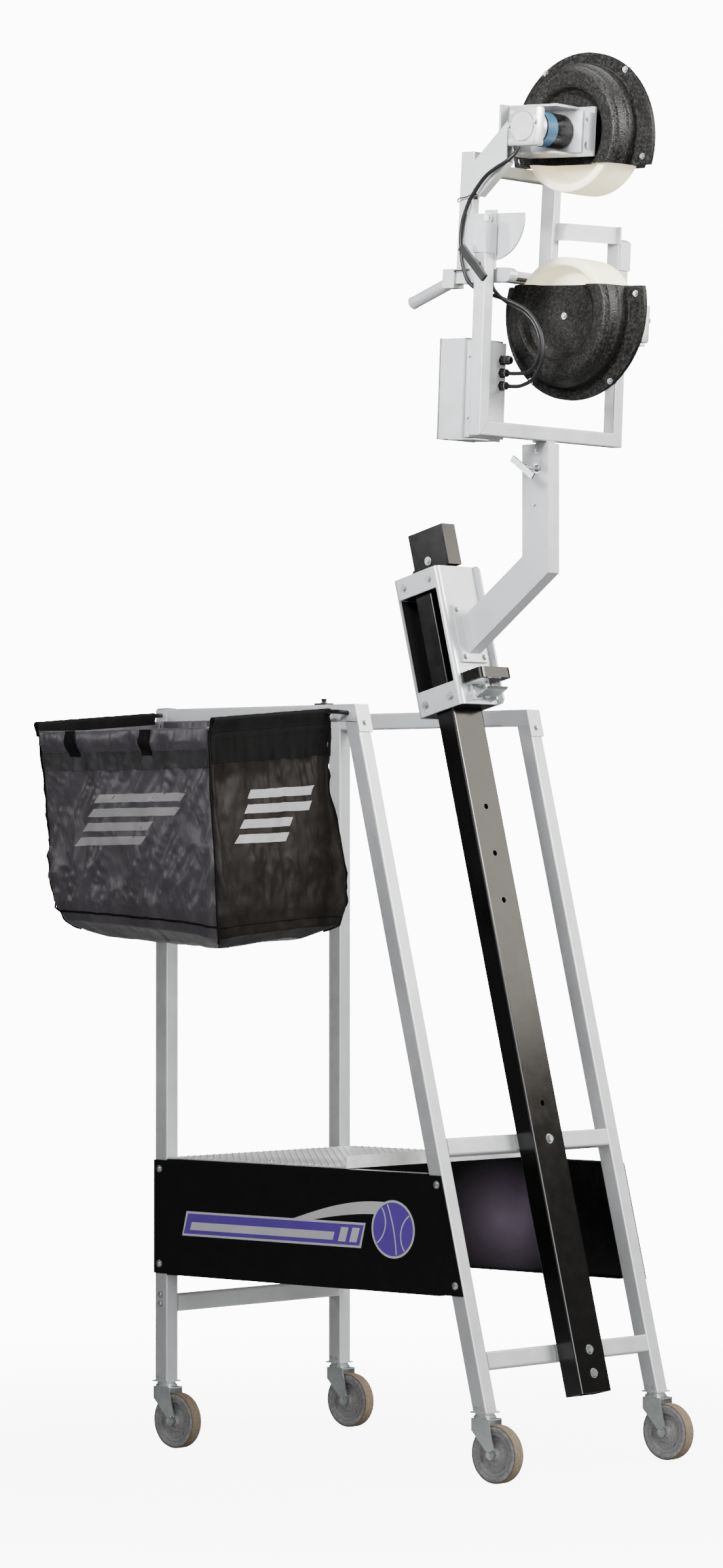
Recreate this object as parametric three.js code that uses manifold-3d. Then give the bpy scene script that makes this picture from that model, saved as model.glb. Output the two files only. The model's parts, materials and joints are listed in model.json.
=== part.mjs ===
// Volleyball serving and attack machine on a wheeled platform cart.
// Millimetres. +Z is up, +X is the throwing direction, -Y is the right-hand side, where the ball bag hangs.
// The origin is on the floor under the middle of the machine's plan box.

import * as THREE from 'three';
import { mergeVertices } from 'three/addons/utils/BufferGeometryUtils.js';
import Module from 'manifold-3d';

const wasm = await Module();
wasm.setup();

// ---------------------------------------------------------------- driving dimensions
const ORIGIN = { x: 608.33, y: 109.99 };   // plan centre, from the rear right-hand corner of the frame
const GAP = 0.3;                         // air left between neighbouring pieces

// cart frame, 1.5 inch square steel tube
const TUBE = 38.1;
const WALL = 2.5;
const CORNER = 4;
const LENGTH = 1009;                     // rear face of the rear legs to front face of the front feet
const WIDTH = 622;
const FOOT = 153.3;                      // underside of the legs
const FRAME_TOP = 1691.5;
const LEAN = Math.atan(0.251);           // front legs and mast lean back by 14 degrees
const MID = WIDTH / 2;
const LOW_BAR = 257;                     // height of the lower front crossbar's centre
const HIGH_BAR = 715.3;
const REAR_BAR = 328.9;
const PANEL = { bottom: 399, top: 658.5, sheet: 2.5, flange: 25 };
const DECK = { front: 598, top: 665.3, sheet: 3, lip: 25 };

// casters
const WHEEL = { radius: 63.5, half: 17.5, bore: 5.05 };
const TRAIL = 36;

// mast and carriage, in the mast's own leaning frame
const POST = { x: 50.8, y: 101.6, wall: 3.2, bottom: 10, top: 1889 };
const PIN_DROPS = [0, 265, 373, 481, 945];   // lock holes, measured down from the working height
const PIN_LEVEL = 1604;
const PIN_RADIUS = 6;
const SLEEVE = { x: 136, y: 132, wall: 6, bottom: 1566, top: 1888 };
const BAND = 48;                         // solid band above and below each side window
const FLANGE = { width: 85, height: 133, sheet: 8, level: 1728 };

// neck, 3 x 1.5 inch tube, in side view
const NECK = { deep: 76.2, wide: 38.1, top: 2270, axisX: 899.6, bend: 2002, rise: 36.6 * Math.PI / 180 };

// yoke, 1.25 inch square tube
const YOKE = { x: 905, z: 2270, lean: 2.6 * Math.PI / 180, tube: 31.75, span: 490, arm: 462, offset: 11 };
const STEM_RADIUS = 15.2;
const PIVOT = 481;                       // tilt axis above the yoke's base
const TRAY = { rear: -93, front: -19, y0: -246, y1: -123, z0: -2, z1: 218, wall: 1.6 };

// head, measured from the tilt axis
const HEAD_LEAN = 1.1 * Math.PI / 180;
const AXLE = { x: 76, z: 200 };          // throwing axles ahead of and above or below the tilt axis
const DRUM = { radius: 130, half: 55 };  // throwing wheels
const GUARD = { cup: 150, flange: 200, half: 66, shift: 16, opening: 68, skin: 4 };
const UPRIGHT = { x: -86, deep: 38.1, wide: 25.4, right: -188.5, left: 87.5 };

// ---------------------------------------------------------------- materials
const finish = (color, roughness, metalness) => new THREE.MeshStandardMaterial({ color, roughness, metalness });
const SILVER = finish(0xb9bcbc, 0.42, 0.35);
const GLOSS_BLACK = finish(0x0c0b0b, 0.16, 0.25);
const PANEL_BLACK = finish(0x060607, 0.3, 0.1);
const TREAD = finish(0xc2c4c3, 0.35, 0.7);
const ZINC = finish(0xaeb4b6, 0.32, 0.9);
const CAST = finish(0xd9d8d2, 0.45, 0.75);
const PLASTIC = finish(0x161514, 0.6, 0.0);
const CREAM = finish(0xeeecd2, 0.55, 0.0);
const GREY_WHEEL = finish(0x8b8b8d, 0.6, 0.0);
const NYLON = finish(0x1b1a1c, 0.75, 0.0);
const CABLE = finish(0x0b0b0c, 0.5, 0.0);

// ---------------------------------------------------------------- solid helpers
const move = (geometry, x = 0, y = 0, z = 0) => geometry.translate(x, y, z);
const box = (x0, x1, y0, y1, z0, z1) =>
  move(new THREE.BoxGeometry(x1 - x0, y1 - y0, z1 - z0), (x0 + x1) / 2, (y0 + y1) / 2, (z0 + z1) / 2);

function toSolid(geometry) {
  const bare = geometry.clone();
  bare.deleteAttribute('normal');
  bare.deleteAttribute('uv');
  const merged = mergeVertices(bare);
  const vertProperties = Float32Array.from(merged.attributes.position.array);
  const triVerts = Uint32Array.from(merged.index.array);
  return new wasm.Manifold(new wasm.Mesh({ numProp: 3, vertProperties, triVerts }));
}

function toGeometry(solid) {
  const mesh = solid.getMesh();
  const geometry = new THREE.BufferGeometry();
  geometry.setAttribute('position', new THREE.BufferAttribute(mesh.vertProperties, 3));
  geometry.setIndex(new THREE.BufferAttribute(mesh.triVerts, 1));
  geometry.computeVertexNormals();
  return geometry;
}

const join = (...pieces) => toGeometry(pieces.map(toSolid).reduce((a, b) => a.add(b)));
const cut = (base, ...tools) => toGeometry(tools.map(toSolid).reduce((a, b) => a.subtract(b), toSolid(base)));
const common = (a, b) => toGeometry(toSolid(a).intersect(toSolid(b)));

function roundedRectangle(path, w, h, r) {
  path.moveTo(w / 2, -h / 2 + r);
  path.lineTo(w / 2, h / 2 - r);
  path.absarc(w / 2 - r, h / 2 - r, r, 0, Math.PI / 2, false);
  path.absarc(-w / 2 + r, h / 2 - r, r, Math.PI / 2, Math.PI, false);
  path.absarc(-w / 2 + r, -h / 2 + r, r, Math.PI, 1.5 * Math.PI, false);
  path.absarc(w / 2 - r, -h / 2 + r, r, 1.5 * Math.PI, 2 * Math.PI, false);
  return path;
}

const extrude = (shape, depth, curveSegments = 2) =>
  new THREE.ExtrudeGeometry(shape, { depth, bevelEnabled: false, curveSegments });

// Rounded bar from z = 0 upwards, w along X and h along Y; with a wall it is an open tube.
function bar(w, h, length, wall = 0, corner = CORNER) {
  const shape = roundedRectangle(new THREE.Shape(), w, h, corner);
  if (wall) shape.holes.push(roundedRectangle(new THREE.Path(), w - 2 * wall, h - 2 * wall, corner / 3));
  return extrude(shape, length);
}

// The same shape for the other side of the machine.
function mirrored(geometry) {
  const copy = (geometry.index ? geometry.toNonIndexed() : geometry.clone()).scale(1, -1, 1);
  const p = copy.attributes.position;
  for (let i = 0; i < p.count; i += 3) {
    const [x, y, z] = [p.getX(i), p.getY(i), p.getZ(i)];
    p.setXYZ(i, p.getX(i + 1), p.getY(i + 1), p.getZ(i + 1));
    p.setXYZ(i + 1, x, y, z);
  }
  return toGeometry(toSolid(copy));
}

const alongY = (geometry) => geometry.rotateX(-Math.PI / 2);   // +Z becomes +Y
const alongX = (geometry) => geometry.rotateY(Math.PI / 2);    // +Z becomes +X

const rod = (radius, length, sides = 16) =>
  new THREE.CylinderGeometry(radius, radius, length, sides).rotateX(Math.PI / 2).translate(0, 0, length / 2);

// A flat plate drawn in side view: [x, z] corners, reaching from y0 to y1.
function plate(corners, y0, y1) {
  const shape = new THREE.Shape(corners.map(([x, z]) => new THREE.Vector2(x, z)));
  return extrude(shape, y1 - y0).rotateX(Math.PI / 2).translate(0, y1, 0);
}

// A turned piece about the Y axis: [radius, y] profile that closes on itself.
function turned(profile, sides) {
  const points = [...profile, profile[0]].map(([r, y]) => new THREE.Vector2(r, y));
  return new THREE.LatheGeometry(points, sides);
}

const machine = new THREE.Group();
machine.position.set(-ORIGIN.x, -ORIGIN.y, 0);

function addPart(parent, name, geometry, material, x = 0, y = 0, z = 0) {
  const mesh = new THREE.Mesh(geometry, material);
  mesh.name = name;
  mesh.position.set(x, y, z);
  parent.add(mesh);
}

function addGroup(parent, x, y, z, turnY = 0) {
  const group = new THREE.Group();
  group.position.set(x, y, z);
  group.rotation.y = turnY;
  parent.add(group);
  return group;
}

// ---------------------------------------------------------------- cart frame
const LEG_RISE = FRAME_TOP - FOOT;
const footPlate = () => box(-23, 23, -23, 23, -3, 0.2);
const frontFaceAt = (z) => LENGTH - Math.tan(LEAN) * (z - FOOT);
const FRONT_FOOT_X = LENGTH - TUBE / 2 / Math.cos(LEAN);

function rearLeg() {
  return join(bar(TUBE, TUBE, LEG_RISE, WALL), footPlate());
}

// The leaning front leg, trimmed level at its foot and its head.
function frontLeg() {
  const leaning = bar(TUBE, TUBE, LEG_RISE * 1.1, WALL).translate(0, 0, -40).rotateY(-LEAN);
  return join(common(leaning, box(-600, 100, -50, 50, 0, LEG_RISE)), footPlate());
}

for (const [side, y] of [['right', TUBE / 2], ['left', WIDTH - TUBE / 2]]) {
  addPart(machine, `rear_leg_${side}`, rearLeg(), SILVER, TUBE / 2, y, FOOT);
  addPart(machine, `front_leg_${side}`, frontLeg(), SILVER, FRONT_FOOT_X, y, FOOT);
}

// Crossbars run between the legs. The front two carry a welded pad that the mast bolts to.
const BAR_LENGTH = WIDTH - 2 * TUBE - 2 * GAP;
const PAD = 6;
const crossbar = () => alongY(bar(TUBE, TUBE, BAR_LENGTH, WALL)).translate(0, -BAR_LENGTH / 2, 0);
const paddedBar = () => join(crossbar(), box(TUBE / 2 - 0.5, TUBE / 2 + PAD, -45, 45, -17, 17));

addPart(machine, 'rear_crossbar', crossbar(), SILVER, TUBE / 2, MID, REAR_BAR);
for (const [name, z] of [['front_lower_crossbar', LOW_BAR], ['front_upper_crossbar', HIGH_BAR]]) {
  const x = frontFaceAt(z) - TUBE / 2 / Math.cos(LEAN);
  addPart(machine, name, paddedBar().rotateY(-LEAN), SILVER, x, MID, z);
}

// Top rails, with the folded bracket that wraps the head of the front leg.
const RAIL_Z = FRAME_TOP - TUBE / 2;
const HEAD_X = frontFaceAt(FRAME_TOP);

function topRail() {
  const tube = alongX(bar(TUBE, TUBE, HEAD_X - TUBE - 20, WALL)).translate(TUBE + GAP, 0, 0);
  const legSpace = box(-TUBE - GAP, 60, -30, 30, -80, 80).rotateY(-LEAN).translate(HEAD_X, 0, TUBE / 2);
  const slope = Math.tan(LEAN) * TUBE;
  const cheek = (y0, y1) => plate([
    [HEAD_X - 75, -TUBE / 2], [HEAD_X + slope + 2, -TUBE / 2], [HEAD_X + 2, TUBE / 2], [HEAD_X - 75, TUBE / 2],
  ], y0, y1);
  const out = TUBE / 2 + GAP;
  const cheeks = [cheek(-out - 3, -out), cheek(out, out + 3)];
  const pads = [box(HEAD_X - 74, HEAD_X - 42, -out - 2, -out + 1, -15, 15),
    box(HEAD_X - 74, HEAD_X - 42, out - 1, out + 2, -15, 15)];
  const front = box(GAP, GAP + 3, -out - 3, out + 3, -64, 0)
    .rotateY(-LEAN).translate(HEAD_X, 0, TUBE / 2);
  const level = box(-700, 700, -60, 60, -90, TUBE / 2);
  return common(join(cut(tube, legSpace), ...pads, ...cheeks, front), level);
}

addPart(machine, 'top_rail_right', topRail(), SILVER, 0, TUBE / 2, RAIL_Z);
addPart(machine, 'top_rail_left', topRail(), SILVER, 0, WIDTH - TUBE / 2, RAIL_Z);

// Side panels bolt on the outside of the legs and turn inwards at the top to carry the deck.
function sidePanel() {
  const front = (z) => frontFaceAt(z) - 2;
  const sheet = plate([[-1, PANEL.bottom], [front(PANEL.bottom), PANEL.bottom],
    [front(PANEL.top), PANEL.top], [-1, PANEL.top]], -PANEL.sheet - GAP, -GAP);
  const inner = front(PANEL.top) - TUBE / Math.cos(LEAN) - 3;
  const lip = box(TUBE + 4, inner, -PANEL.sheet - GAP, PANEL.flange, PANEL.top - 0.5, PANEL.top + PANEL.sheet);
  const foot = box(TUBE + 4, inner + 40, -PANEL.sheet - GAP, PANEL.flange * 0.6,
    PANEL.bottom - PANEL.sheet, PANEL.bottom + 0.5);
  return join(sheet, lip, foot);
}

addPart(machine, 'side_panel_right', sidePanel(), PANEL_BLACK);
addPart(machine, 'side_panel_left', mirrored(sidePanel()), PANEL_BLACK, 0, WIDTH, 0);

// Ribbed tread plate with a turned-up front edge, resting on the panels' inner lips.
function deck() {
  const rear = TUBE + 6;
  const sheet = box(rear, DECK.front, 1, WIDTH - 1, DECK.top - DECK.sheet, DECK.top);
  const lip = box(DECK.front - DECK.sheet, DECK.front, 1, WIDTH - 1, DECK.top - 1, DECK.top + DECK.lip);
  return join(sheet, lip);
}

addPart(machine, 'deck', deck(), TREAD);

// ---------------------------------------------------------------- casters
const AXLE_RADIUS = 4.75;

// Pressed fork with its swivel race and axle bolt; z = 0 is the floor, x = 0 the swivel axis.
function casterFork() {
  const head = 139;
  const race = rod(21, FOOT - 3 - GAP - head, 24).translate(0, 0, head);
  const top = box(-21, 30, -21.7, 21.7, head - 3, head + 0.5);
  const cheek = (y) => plate([[-21, head], [30, head], [30, head - 12], [TRAIL + 11, WHEEL.radius + 3],
    [TRAIL + 7, WHEEL.radius - 9], [TRAIL - 7, WHEEL.radius - 9], [TRAIL - 11, WHEEL.radius + 3],
    [-21, head - 26]], y - 1.4, y + 1.4);
  const axle = alongY(rod(AXLE_RADIUS, 50)).translate(TRAIL, -25, WHEEL.radius);
  const nut = (y) => alongY(rod(9, 5, 6)).translate(TRAIL, y, WHEEL.radius);
  return join(race, top, cheek(-20.3), cheek(20.3), axle, nut(-26.5), nut(21.5));
}

// Rubber-tyred wheel: hub, dished web and rounded tread.
function casterWheel() {
  const { radius, half, bore } = WHEEL;
  return turned([[bore, -half], [14, -half], [17, -9], [42, -7], [46, -13], [57, -15], [radius - 1.5, -12.5],
    [radius, -9], [radius, 9], [radius - 1.5, 12.5], [57, 15], [46, 13], [42, 7], [17, 9], [14, half],
    [bore, half]], 20);
}

for (const [end, x] of [['rear', TUBE / 2], ['front', FRONT_FOOT_X]]) {
  for (const [side, y] of [['right', TUBE / 2], ['left', WIDTH - TUBE / 2]]) {
    const caster = addGroup(machine, x, y, 0);
    addPart(caster, `caster_fork_${end}_${side}`, casterFork(), ZINC);
    addPart(caster, `caster_wheel_${end}_${side}`, casterWheel(), GREY_WHEEL, TRAIL, 0, WHEEL.radius);
  }
}

// ---------------------------------------------------------------- mast and balance spring
// The mast frame: z runs up along the mast, x points forwards out of its front face.
const MAST_OUT = PAD + GAP + POST.x / 2;
const MAST_X = LENGTH + MAST_OUT * Math.cos(LEAN);
const MAST_Z = FOOT + MAST_OUT * Math.sin(LEAN);
const mast = addGroup(machine, MAST_X, MID, MAST_Z, -LEAN);

function post() {
  const tube = bar(POST.x, POST.y, POST.top - POST.bottom, POST.wall, 5).translate(0, 0, POST.bottom);
  const holes = PIN_DROPS.map((drop) =>
    alongX(rod(PIN_RADIUS + 0.6, 20)).translate(POST.x / 2 - 10, 0, PIN_LEVEL - drop));
  return cut(tube, ...holes);
}

addPart(mast, 'post', post(), GLOSS_BLACK);

// Housing of the balance spring on the post's head, open underneath, and the spring's drum inside it.
const HOUSING = { rear: -35, front: 70, half: 22, bottom: POST.top + 4, top: POST.top + 99, wall: 2.5 };
const DRUM_CENTRE = { x: 18, z: POST.top + 52 };
const SPRING_DRUM_RADIUS = 36;

function springHousing() {
  const { rear, front, half, bottom, top, wall } = HOUSING;
  const outer = box(rear, front, -half, half, bottom, top);
  const inner = box(rear + wall, front - wall, -half + wall, half - wall, bottom - 1, top - wall);
  const foot = box(-POST.x / 2, POST.x / 2, -half, -half + wall, POST.top + GAP, bottom + 1);
  const tab = box(-20, 20, -36, -half + 1, POST.top + GAP, POST.top + 4);
  const pin = alongY(rod(4, 2 * half - 2)).translate(DRUM_CENTRE.x, -half + 1, DRUM_CENTRE.z);
  const tabs = [foot, tab, mirrored(foot), mirrored(tab)];
  return join(cut(outer, inner), ...tabs, pin);
}

addPart(mast, 'spring_housing', springHousing(), GLOSS_BLACK);
addPart(mast, 'spring_drum', turned([[4.4, -16], [SPRING_DRUM_RADIUS, -16], [SPRING_DRUM_RADIUS, -13],
  [30, -13], [30, 13], [SPRING_DRUM_RADIUS, 13], [SPRING_DRUM_RADIUS, 16], [4.4, 16]], 24),
ZINC, DRUM_CENTRE.x, 0, DRUM_CENTRE.z);

// ---------------------------------------------------------------- carriage
const FRONT_FACE = SLEEVE.x / 2;

// Welded sleeve around the post: windows in both sides, and the left side plate stands proud in front.
function carriageSleeve() {
  const { x, y, wall, bottom, top } = SLEEVE;
  const tube = bar(x, y, top - bottom, wall, 12).translate(0, 0, bottom);
  const window = box(-x / 2 + 10, x / 2 - 12, -100, 100, bottom + BAND + 8, top - BAND);
  const proud = plate([[x / 2 - 10, bottom], [x / 2 + 8, bottom], [x / 2 + 15, bottom + 9],
    [x / 2 + 15, top - 9], [x / 2 + 8, top], [x / 2 - 10, top]], y / 2 - wall, y / 2);
  const pinHole = alongX(rod(PIN_RADIUS + GAP, 40)).translate(x / 2 - 30, 0, PIN_LEVEL);
  const lug = box(x / 2 - 1, x / 2 + 18, 34.4, 39.4, bottom + 6, bottom + 26);
  return cut(join(cut(tube, window), proud, lug, mirrored(lug)), pinHole);
}

// Slippery plastic collar that fills the sleeve and runs on the post.
function slidePad(bottom, top) {
  const x = SLEEVE.x - 2 * SLEEVE.wall - 2 * GAP;
  const y = SLEEVE.y - 2 * SLEEVE.wall - 2 * GAP;
  const hole = bar(POST.x + 2 * GAP, POST.y + 2 * GAP, top - bottom + 2, 0, 5).translate(0, 0, bottom - 1);
  return cut(bar(x, y, top - bottom, 0, 8).translate(0, 0, bottom), hole);
}

// Both collars are one moulding, joined by a strip along the post's left-hand side.
function slideLiner() {
  const strip = box(-12, 12, POST.y / 2 + GAP, SLEEVE.y / 2 - SLEEVE.wall - GAP, SLEEVE.bottom + 40, SLEEVE.top - 40);
  const pinHole = alongX(rod(PIN_RADIUS + GAP, 60)).translate(20, 0, PIN_LEVEL);
  return cut(join(slidePad(SLEEVE.bottom + 1, SLEEVE.bottom + 50), slidePad(SLEEVE.top - 46, SLEEVE.top - 2), strip),
    pinHole);
}

addPart(mast, 'carriage_sleeve', carriageSleeve(), SILVER);
addPart(mast, 'slide_liner', slideLiner(), PLASTIC);

// U-shaped carrying handle on the front of the sleeve.
const HANDLE = { reach: 60, half: 52, bottom: 1612, height: 24, bar: 11 };

function carriageHandle() {
  const { reach, half, bottom, height, bar: thick } = HANDLE;
  const x0 = FRONT_FACE + GAP;
  const shape = new THREE.Shape();
  shape.moveTo(x0, -half);
  shape.lineTo(x0 + reach - 12, -half);
  shape.quadraticCurveTo(x0 + reach, -half, x0 + reach, -half + 12);
  shape.lineTo(x0 + reach, half - 12);
  shape.quadraticCurveTo(x0 + reach, half, x0 + reach - 12, half);
  shape.lineTo(x0, half);
  shape.lineTo(x0, half - thick);
  shape.lineTo(x0 + reach - thick - 6, half - thick);
  shape.quadraticCurveTo(x0 + reach - thick, half - thick, x0 + reach - thick, half - thick - 6);
  shape.lineTo(x0 + reach - thick, -half + thick + 6);
  shape.quadraticCurveTo(x0 + reach - thick, -half + thick, x0 + reach - thick - 6, -half + thick);
  shape.lineTo(x0, -half + thick);
  return extrude(shape, height, 4).translate(0, 0, bottom);
}

addPart(mast, 'carriage_handle', carriageHandle(), GLOSS_BLACK);

// Lock pin, held off the post by a hair between holes, and the squeeze lever that draws it.
const PIN_NOSE = POST.x / 2 + 0.5;
const LEVER_PIVOT = { x: FRONT_FACE + 8, z: PIN_LEVEL - 22 };

function lockPin() {
  const shank = alongX(rod(PIN_RADIUS, FRONT_FACE + 24 - PIN_NOSE)).translate(PIN_NOSE, 0, PIN_LEVEL);
  const head = alongX(rod(8, 5)).translate(FRONT_FACE + 22, 0, PIN_LEVEL);
  const cross = alongY(rod(3, 44, 12)).translate(FRONT_FACE + 17, -22, PIN_LEVEL);
  return join(shank, head, cross);
}

// The lever's two tines stand behind the pin's cross bar and push it forwards.
function releaseLever() {
  const { x, z } = LEVER_PIVOT;
  const fork = plate([[x - 6, z - 4], [x + 8, z - 6], [x + 46, z + 4], [x + 50, z + 9], [x + 8, z + 2],
    [x + 4, z + 26], [x - 4, z + 26], [x - 6, z + 2]], -34, 34);
  const slot = box(x - 20, x + 14, -12, 12, z - 20, z + 40);
  return cut(fork, slot);
}

addPart(mast, 'lock_pin', lockPin(), ZINC);
addPart(mast, 'release_lever', releaseLever(), ZINC);

// ---------------------------------------------------------------- neck
const [COS, SIN] = [Math.cos(LEAN), Math.sin(LEAN)];

// Where the neck's lower tube, offset sideways from its centreline, meets a plane of the mast frame.
function neckEnd(offset, mastX) {
  const along = [Math.cos(NECK.rise), Math.sin(NECK.rise)];
  const start = [NECK.axisX - MAST_X - offset * along[1], NECK.bend - MAST_Z + offset * along[0]];
  const t = (mastX - start[0] * COS - start[1] * SIN) / (along[0] * COS + along[1] * SIN);
  return [start[0] + t * along[0] + MAST_X, start[1] + t * along[1] + MAST_Z];
}

// Bent outline of the neck in side view, drawn half a width either side of its centreline.
function neckOutline(half, top, mastX) {
  const bendAt = (side) => [NECK.axisX + side * half,
    NECK.bend + side * (half * Math.tan(NECK.rise) - half / Math.cos(NECK.rise))];
  return [[NECK.axisX - half, top], bendAt(-1), neckEnd(half, mastX), neckEnd(-half, mastX),
    bendAt(1), [NECK.axisX + half, top]];
}

const inYoke = (geometry) => geometry.rotateY(YOKE.lean).translate(YOKE.x, 0, YOKE.z);
const NECK_BOLT = { x: 906, z: 2215 };

function neck() {
  const face = FRONT_FACE + GAP + FLANGE.sheet;
  const wall = 3;
  const outer = plate(neckOutline(NECK.deep / 2, NECK.top, face - 1), -NECK.wide / 2, NECK.wide / 2);
  const hollow = plate(neckOutline(NECK.deep / 2 - wall, NECK.top - 95, face), -NECK.wide / 2 + wall,
    NECK.wide / 2 - wall);
  const flange = box(FRONT_FACE + GAP, face, -FLANGE.width / 2, FLANGE.width / 2,
    FLANGE.level - FLANGE.height / 2, FLANGE.level + FLANGE.height / 2)
    .rotateY(-LEAN).translate(MAST_X, 0, MAST_Z);
  const bore = inYoke(rod(STEM_RADIUS + GAP, 130, 20).translate(0, 0, -110));
  const boltHole = alongY(rod(4.4, 30)).translate(NECK_BOLT.x, -38, NECK_BOLT.z);
  return cut(join(outer, flange), hollow, bore, boltHole);
}

// Clamp screw with a flat cross handle: the bolt runs along Y and the blade lies in side view.
function crossHandle({ length, width, thick, turn, from, to, radius }) {
  const blade = box(-length / 2, length / 2, to - thick, to, -width / 2, width / 2).rotateY(turn);
  const bolt = alongY(rod(radius, from - to + thick, 12)).translate(0, to - thick, 0);
  const boss = alongY(rod(radius + 3.5, 8, 12)).translate(0, to - 1, 0);
  return join(blade, bolt, boss);
}

addPart(machine, 'neck', neck(), SILVER, 0, MID, 0);
addPart(machine, 'neck_lock_lever', crossHandle({
  length: 75, width: 15, thick: 5, turn: 35 * Math.PI / 180, from: -STEM_RADIUS - 1.2, to: -66, radius: 4,
}), ZINC, NECK_BOLT.x, MID, NECK_BOLT.z);

// ---------------------------------------------------------------- yoke
const yoke = addGroup(machine, YOKE.x, MID, YOKE.z, YOKE.lean);
const BASE_Z = 6;
const HALF_SPAN = YOKE.span / 2;
const ARM_Y = HALF_SPAN - YOKE.tube / 2;
const EAR = { inner: 207.2, half: 16, bottom: 370, top: 500 };
const TILT_BOLT_Z = 380;
const QUADRANT = { radius: 92, top: 12, outer: -206.7, inner: -201.5 };

function yokeBase() {
  const t = YOKE.tube;
  const tube = alongY(bar(t, t, YOKE.span, WALL, 3)).translate(YOKE.offset, -HALF_SPAN, BASE_Z + t / 2);
  const keep = plateAcross([[-HALF_SPAN + GAP, BASE_Z - 1], [HALF_SPAN - GAP, BASE_Z - 1],
    [HALF_SPAN - t - GAP, BASE_Z + t], [-HALF_SPAN + t + GAP, BASE_Z + t]], -60, 60);
  const stem = rod(STEM_RADIUS, 92, 20).translate(0, 0, -85);
  const collar = box(-17, YOKE.offset + 14, -15, 15, 2.4, BASE_Z + 1);
  return join(common(tube, keep), stem, collar);
}

// A plate drawn in front view: [y, z] corners, reaching from x0 to x1.
function plateAcross(corners, x0, x1) {
  const shape = new THREE.Shape(corners.map(([y, z]) => new THREE.Vector2(y, z)));
  return extrude(shape, x1 - x0).rotateZ(Math.PI / 2).rotateY(Math.PI / 2).translate(x0, 0, 0);
}

// Right-hand arm: mitred foot, capped head, and the ear that carries the tilt bolt.
function yokeArm(...extras) {
  const t = YOKE.tube;
  const x = YOKE.offset;
  const tube = bar(t, t, YOKE.arm - BASE_Z, WALL, 3).translate(x, -ARM_Y, BASE_Z);
  const keep = plateAcross([[-HALF_SPAN - 1, BASE_Z - 1], [-HALF_SPAN + t, BASE_Z + t],
    [-HALF_SPAN + t, 600], [-HALF_SPAN - 1, 600]], -60, 60);
  const cap = plate([[x - 19, 404], [x + 19, 404], [x + 19, 468], [x + 6, 474], [x - 19, 468]],
    -HALF_SPAN - 3, -HALF_SPAN + t);
  const ear = box(x - EAR.half, x + EAR.half, -HALF_SPAN + t - 0.4, -EAR.inner, EAR.bottom, EAR.top);
  const pivot = alongY(rod(6, 24, 16)).translate(x, -221, PIVOT);
  const pivotHead = alongY(rod(10, 6, 6)).translate(x, -219, PIVOT);
  const lockHole = alongY(rod(4.6, 80, 12)).translate(x, -HALF_SPAN - 10, TILT_BOLT_Z);
  return cut(join(common(tube, keep), cap, ear, pivot, pivotHead, ...extras), lockHole);
}

// Jaw under the ear that reaches past the quadrant's rim and hooks up behind it.
function tiltJaw() {
  const x = YOKE.offset;
  const low = TILT_BOLT_Z - 3;
  const bridge = box(x - 8, x + 8, -EAR.inner - 1, QUADRANT.inner + 1, low, PIVOT - QUADRANT.radius - 2);
  const hook = box(x - 8, x + 8, QUADRANT.inner + 0.4, QUADRANT.inner + 4.4, low, low + 18);
  return join(bridge, hook);
}

addPart(yoke, 'yoke_base', yokeBase(), SILVER);
addPart(yoke, 'yoke_arm_right', yokeArm(tiltJaw()), SILVER);
addPart(yoke, 'yoke_arm_left', mirrored(yokeArm()), SILVER);

// Tilt clamp: a black cross handle outside the arm, whose screw pulls the jaw onto the quadrant's rim.
addPart(yoke, 'tilt_lock_lever', crossHandle({
  length: 100, width: 17, thick: 9, turn: 45 * Math.PI / 180, from: -197.5, to: -262, radius: 4,
}), PLASTIC, YOKE.offset, 0, TILT_BOLT_Z);

// Control box behind the right-hand arm: a deep tray, and a shallow lid in front that takes the cables.
const GLAND = { y: -140, z: 120 };

function controlTray() {
  const { rear, front, y0, y1, z0, z1, wall } = TRAY;
  return cut(box(rear, front, y0, y1, z0, z1),
    box(rear + wall, front + 1, y0 + wall, y1 - wall, z0 + wall, z1 - wall));
}

function controlLid() {
  const { front, y0, y1, z0, z1, wall } = TRAY;
  const inset = 4;
  const edge = inset + wall;
  const face = YOKE.offset - YOKE.tube / 2 - GAP;
  const outer = box(front + GAP, face, y0 + inset, y1 - inset, z0 + inset, z1 - inset);
  const inner = box(front, face - wall, y0 + edge, y1 - edge, z0 + edge, z1 - edge);
  const gland = (z) => alongX(rod(9, 16, 12)).translate(face - 1, GLAND.y, z);
  return join(cut(outer, inner), gland(GLAND.z), gland(GLAND.z + 28), gland(GLAND.z + 56));
}

addPart(yoke, 'control_box', controlTray(), SILVER);
addPart(yoke, 'control_box_lid', controlLid(), SILVER);

// Speed knobs and power switch on the operator's side of the box.
const KNOB = { radius: 20, deep: 15, z: 122 };

function speedKnob() {
  const skirt = alongX(rod(KNOB.radius, 5, 24));
  const grip = alongX(rod(KNOB.radius - 4, KNOB.deep, 16));
  const pointer = box(1, KNOB.deep + 1, -1.5, 1.5, 4, KNOB.radius - 3);
  return join(skirt, grip, pointer).rotateZ(Math.PI);
}

for (const [name, y] of [['speed_knob_upper_wheel', -208], ['speed_knob_lower_wheel', -161]]) {
  addPart(yoke, name, speedKnob(), PLASTIC, TRAY.rear - GAP, y, KNOB.z);
}

// Rocker in side view, about its pivot: its back is a shallow V, so that it can tip either way.
const ROCKER = { pivot: 4.4, tip: 12 * Math.PI / 180, z: 66 };

function rocker() {
  return plate([[4, 0], [0.6, -14], [-4.5, -14], [-1.5, 0], [-4.5, 14], [0.6, 14]], -9, 9).rotateY(ROCKER.tip);
}

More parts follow.
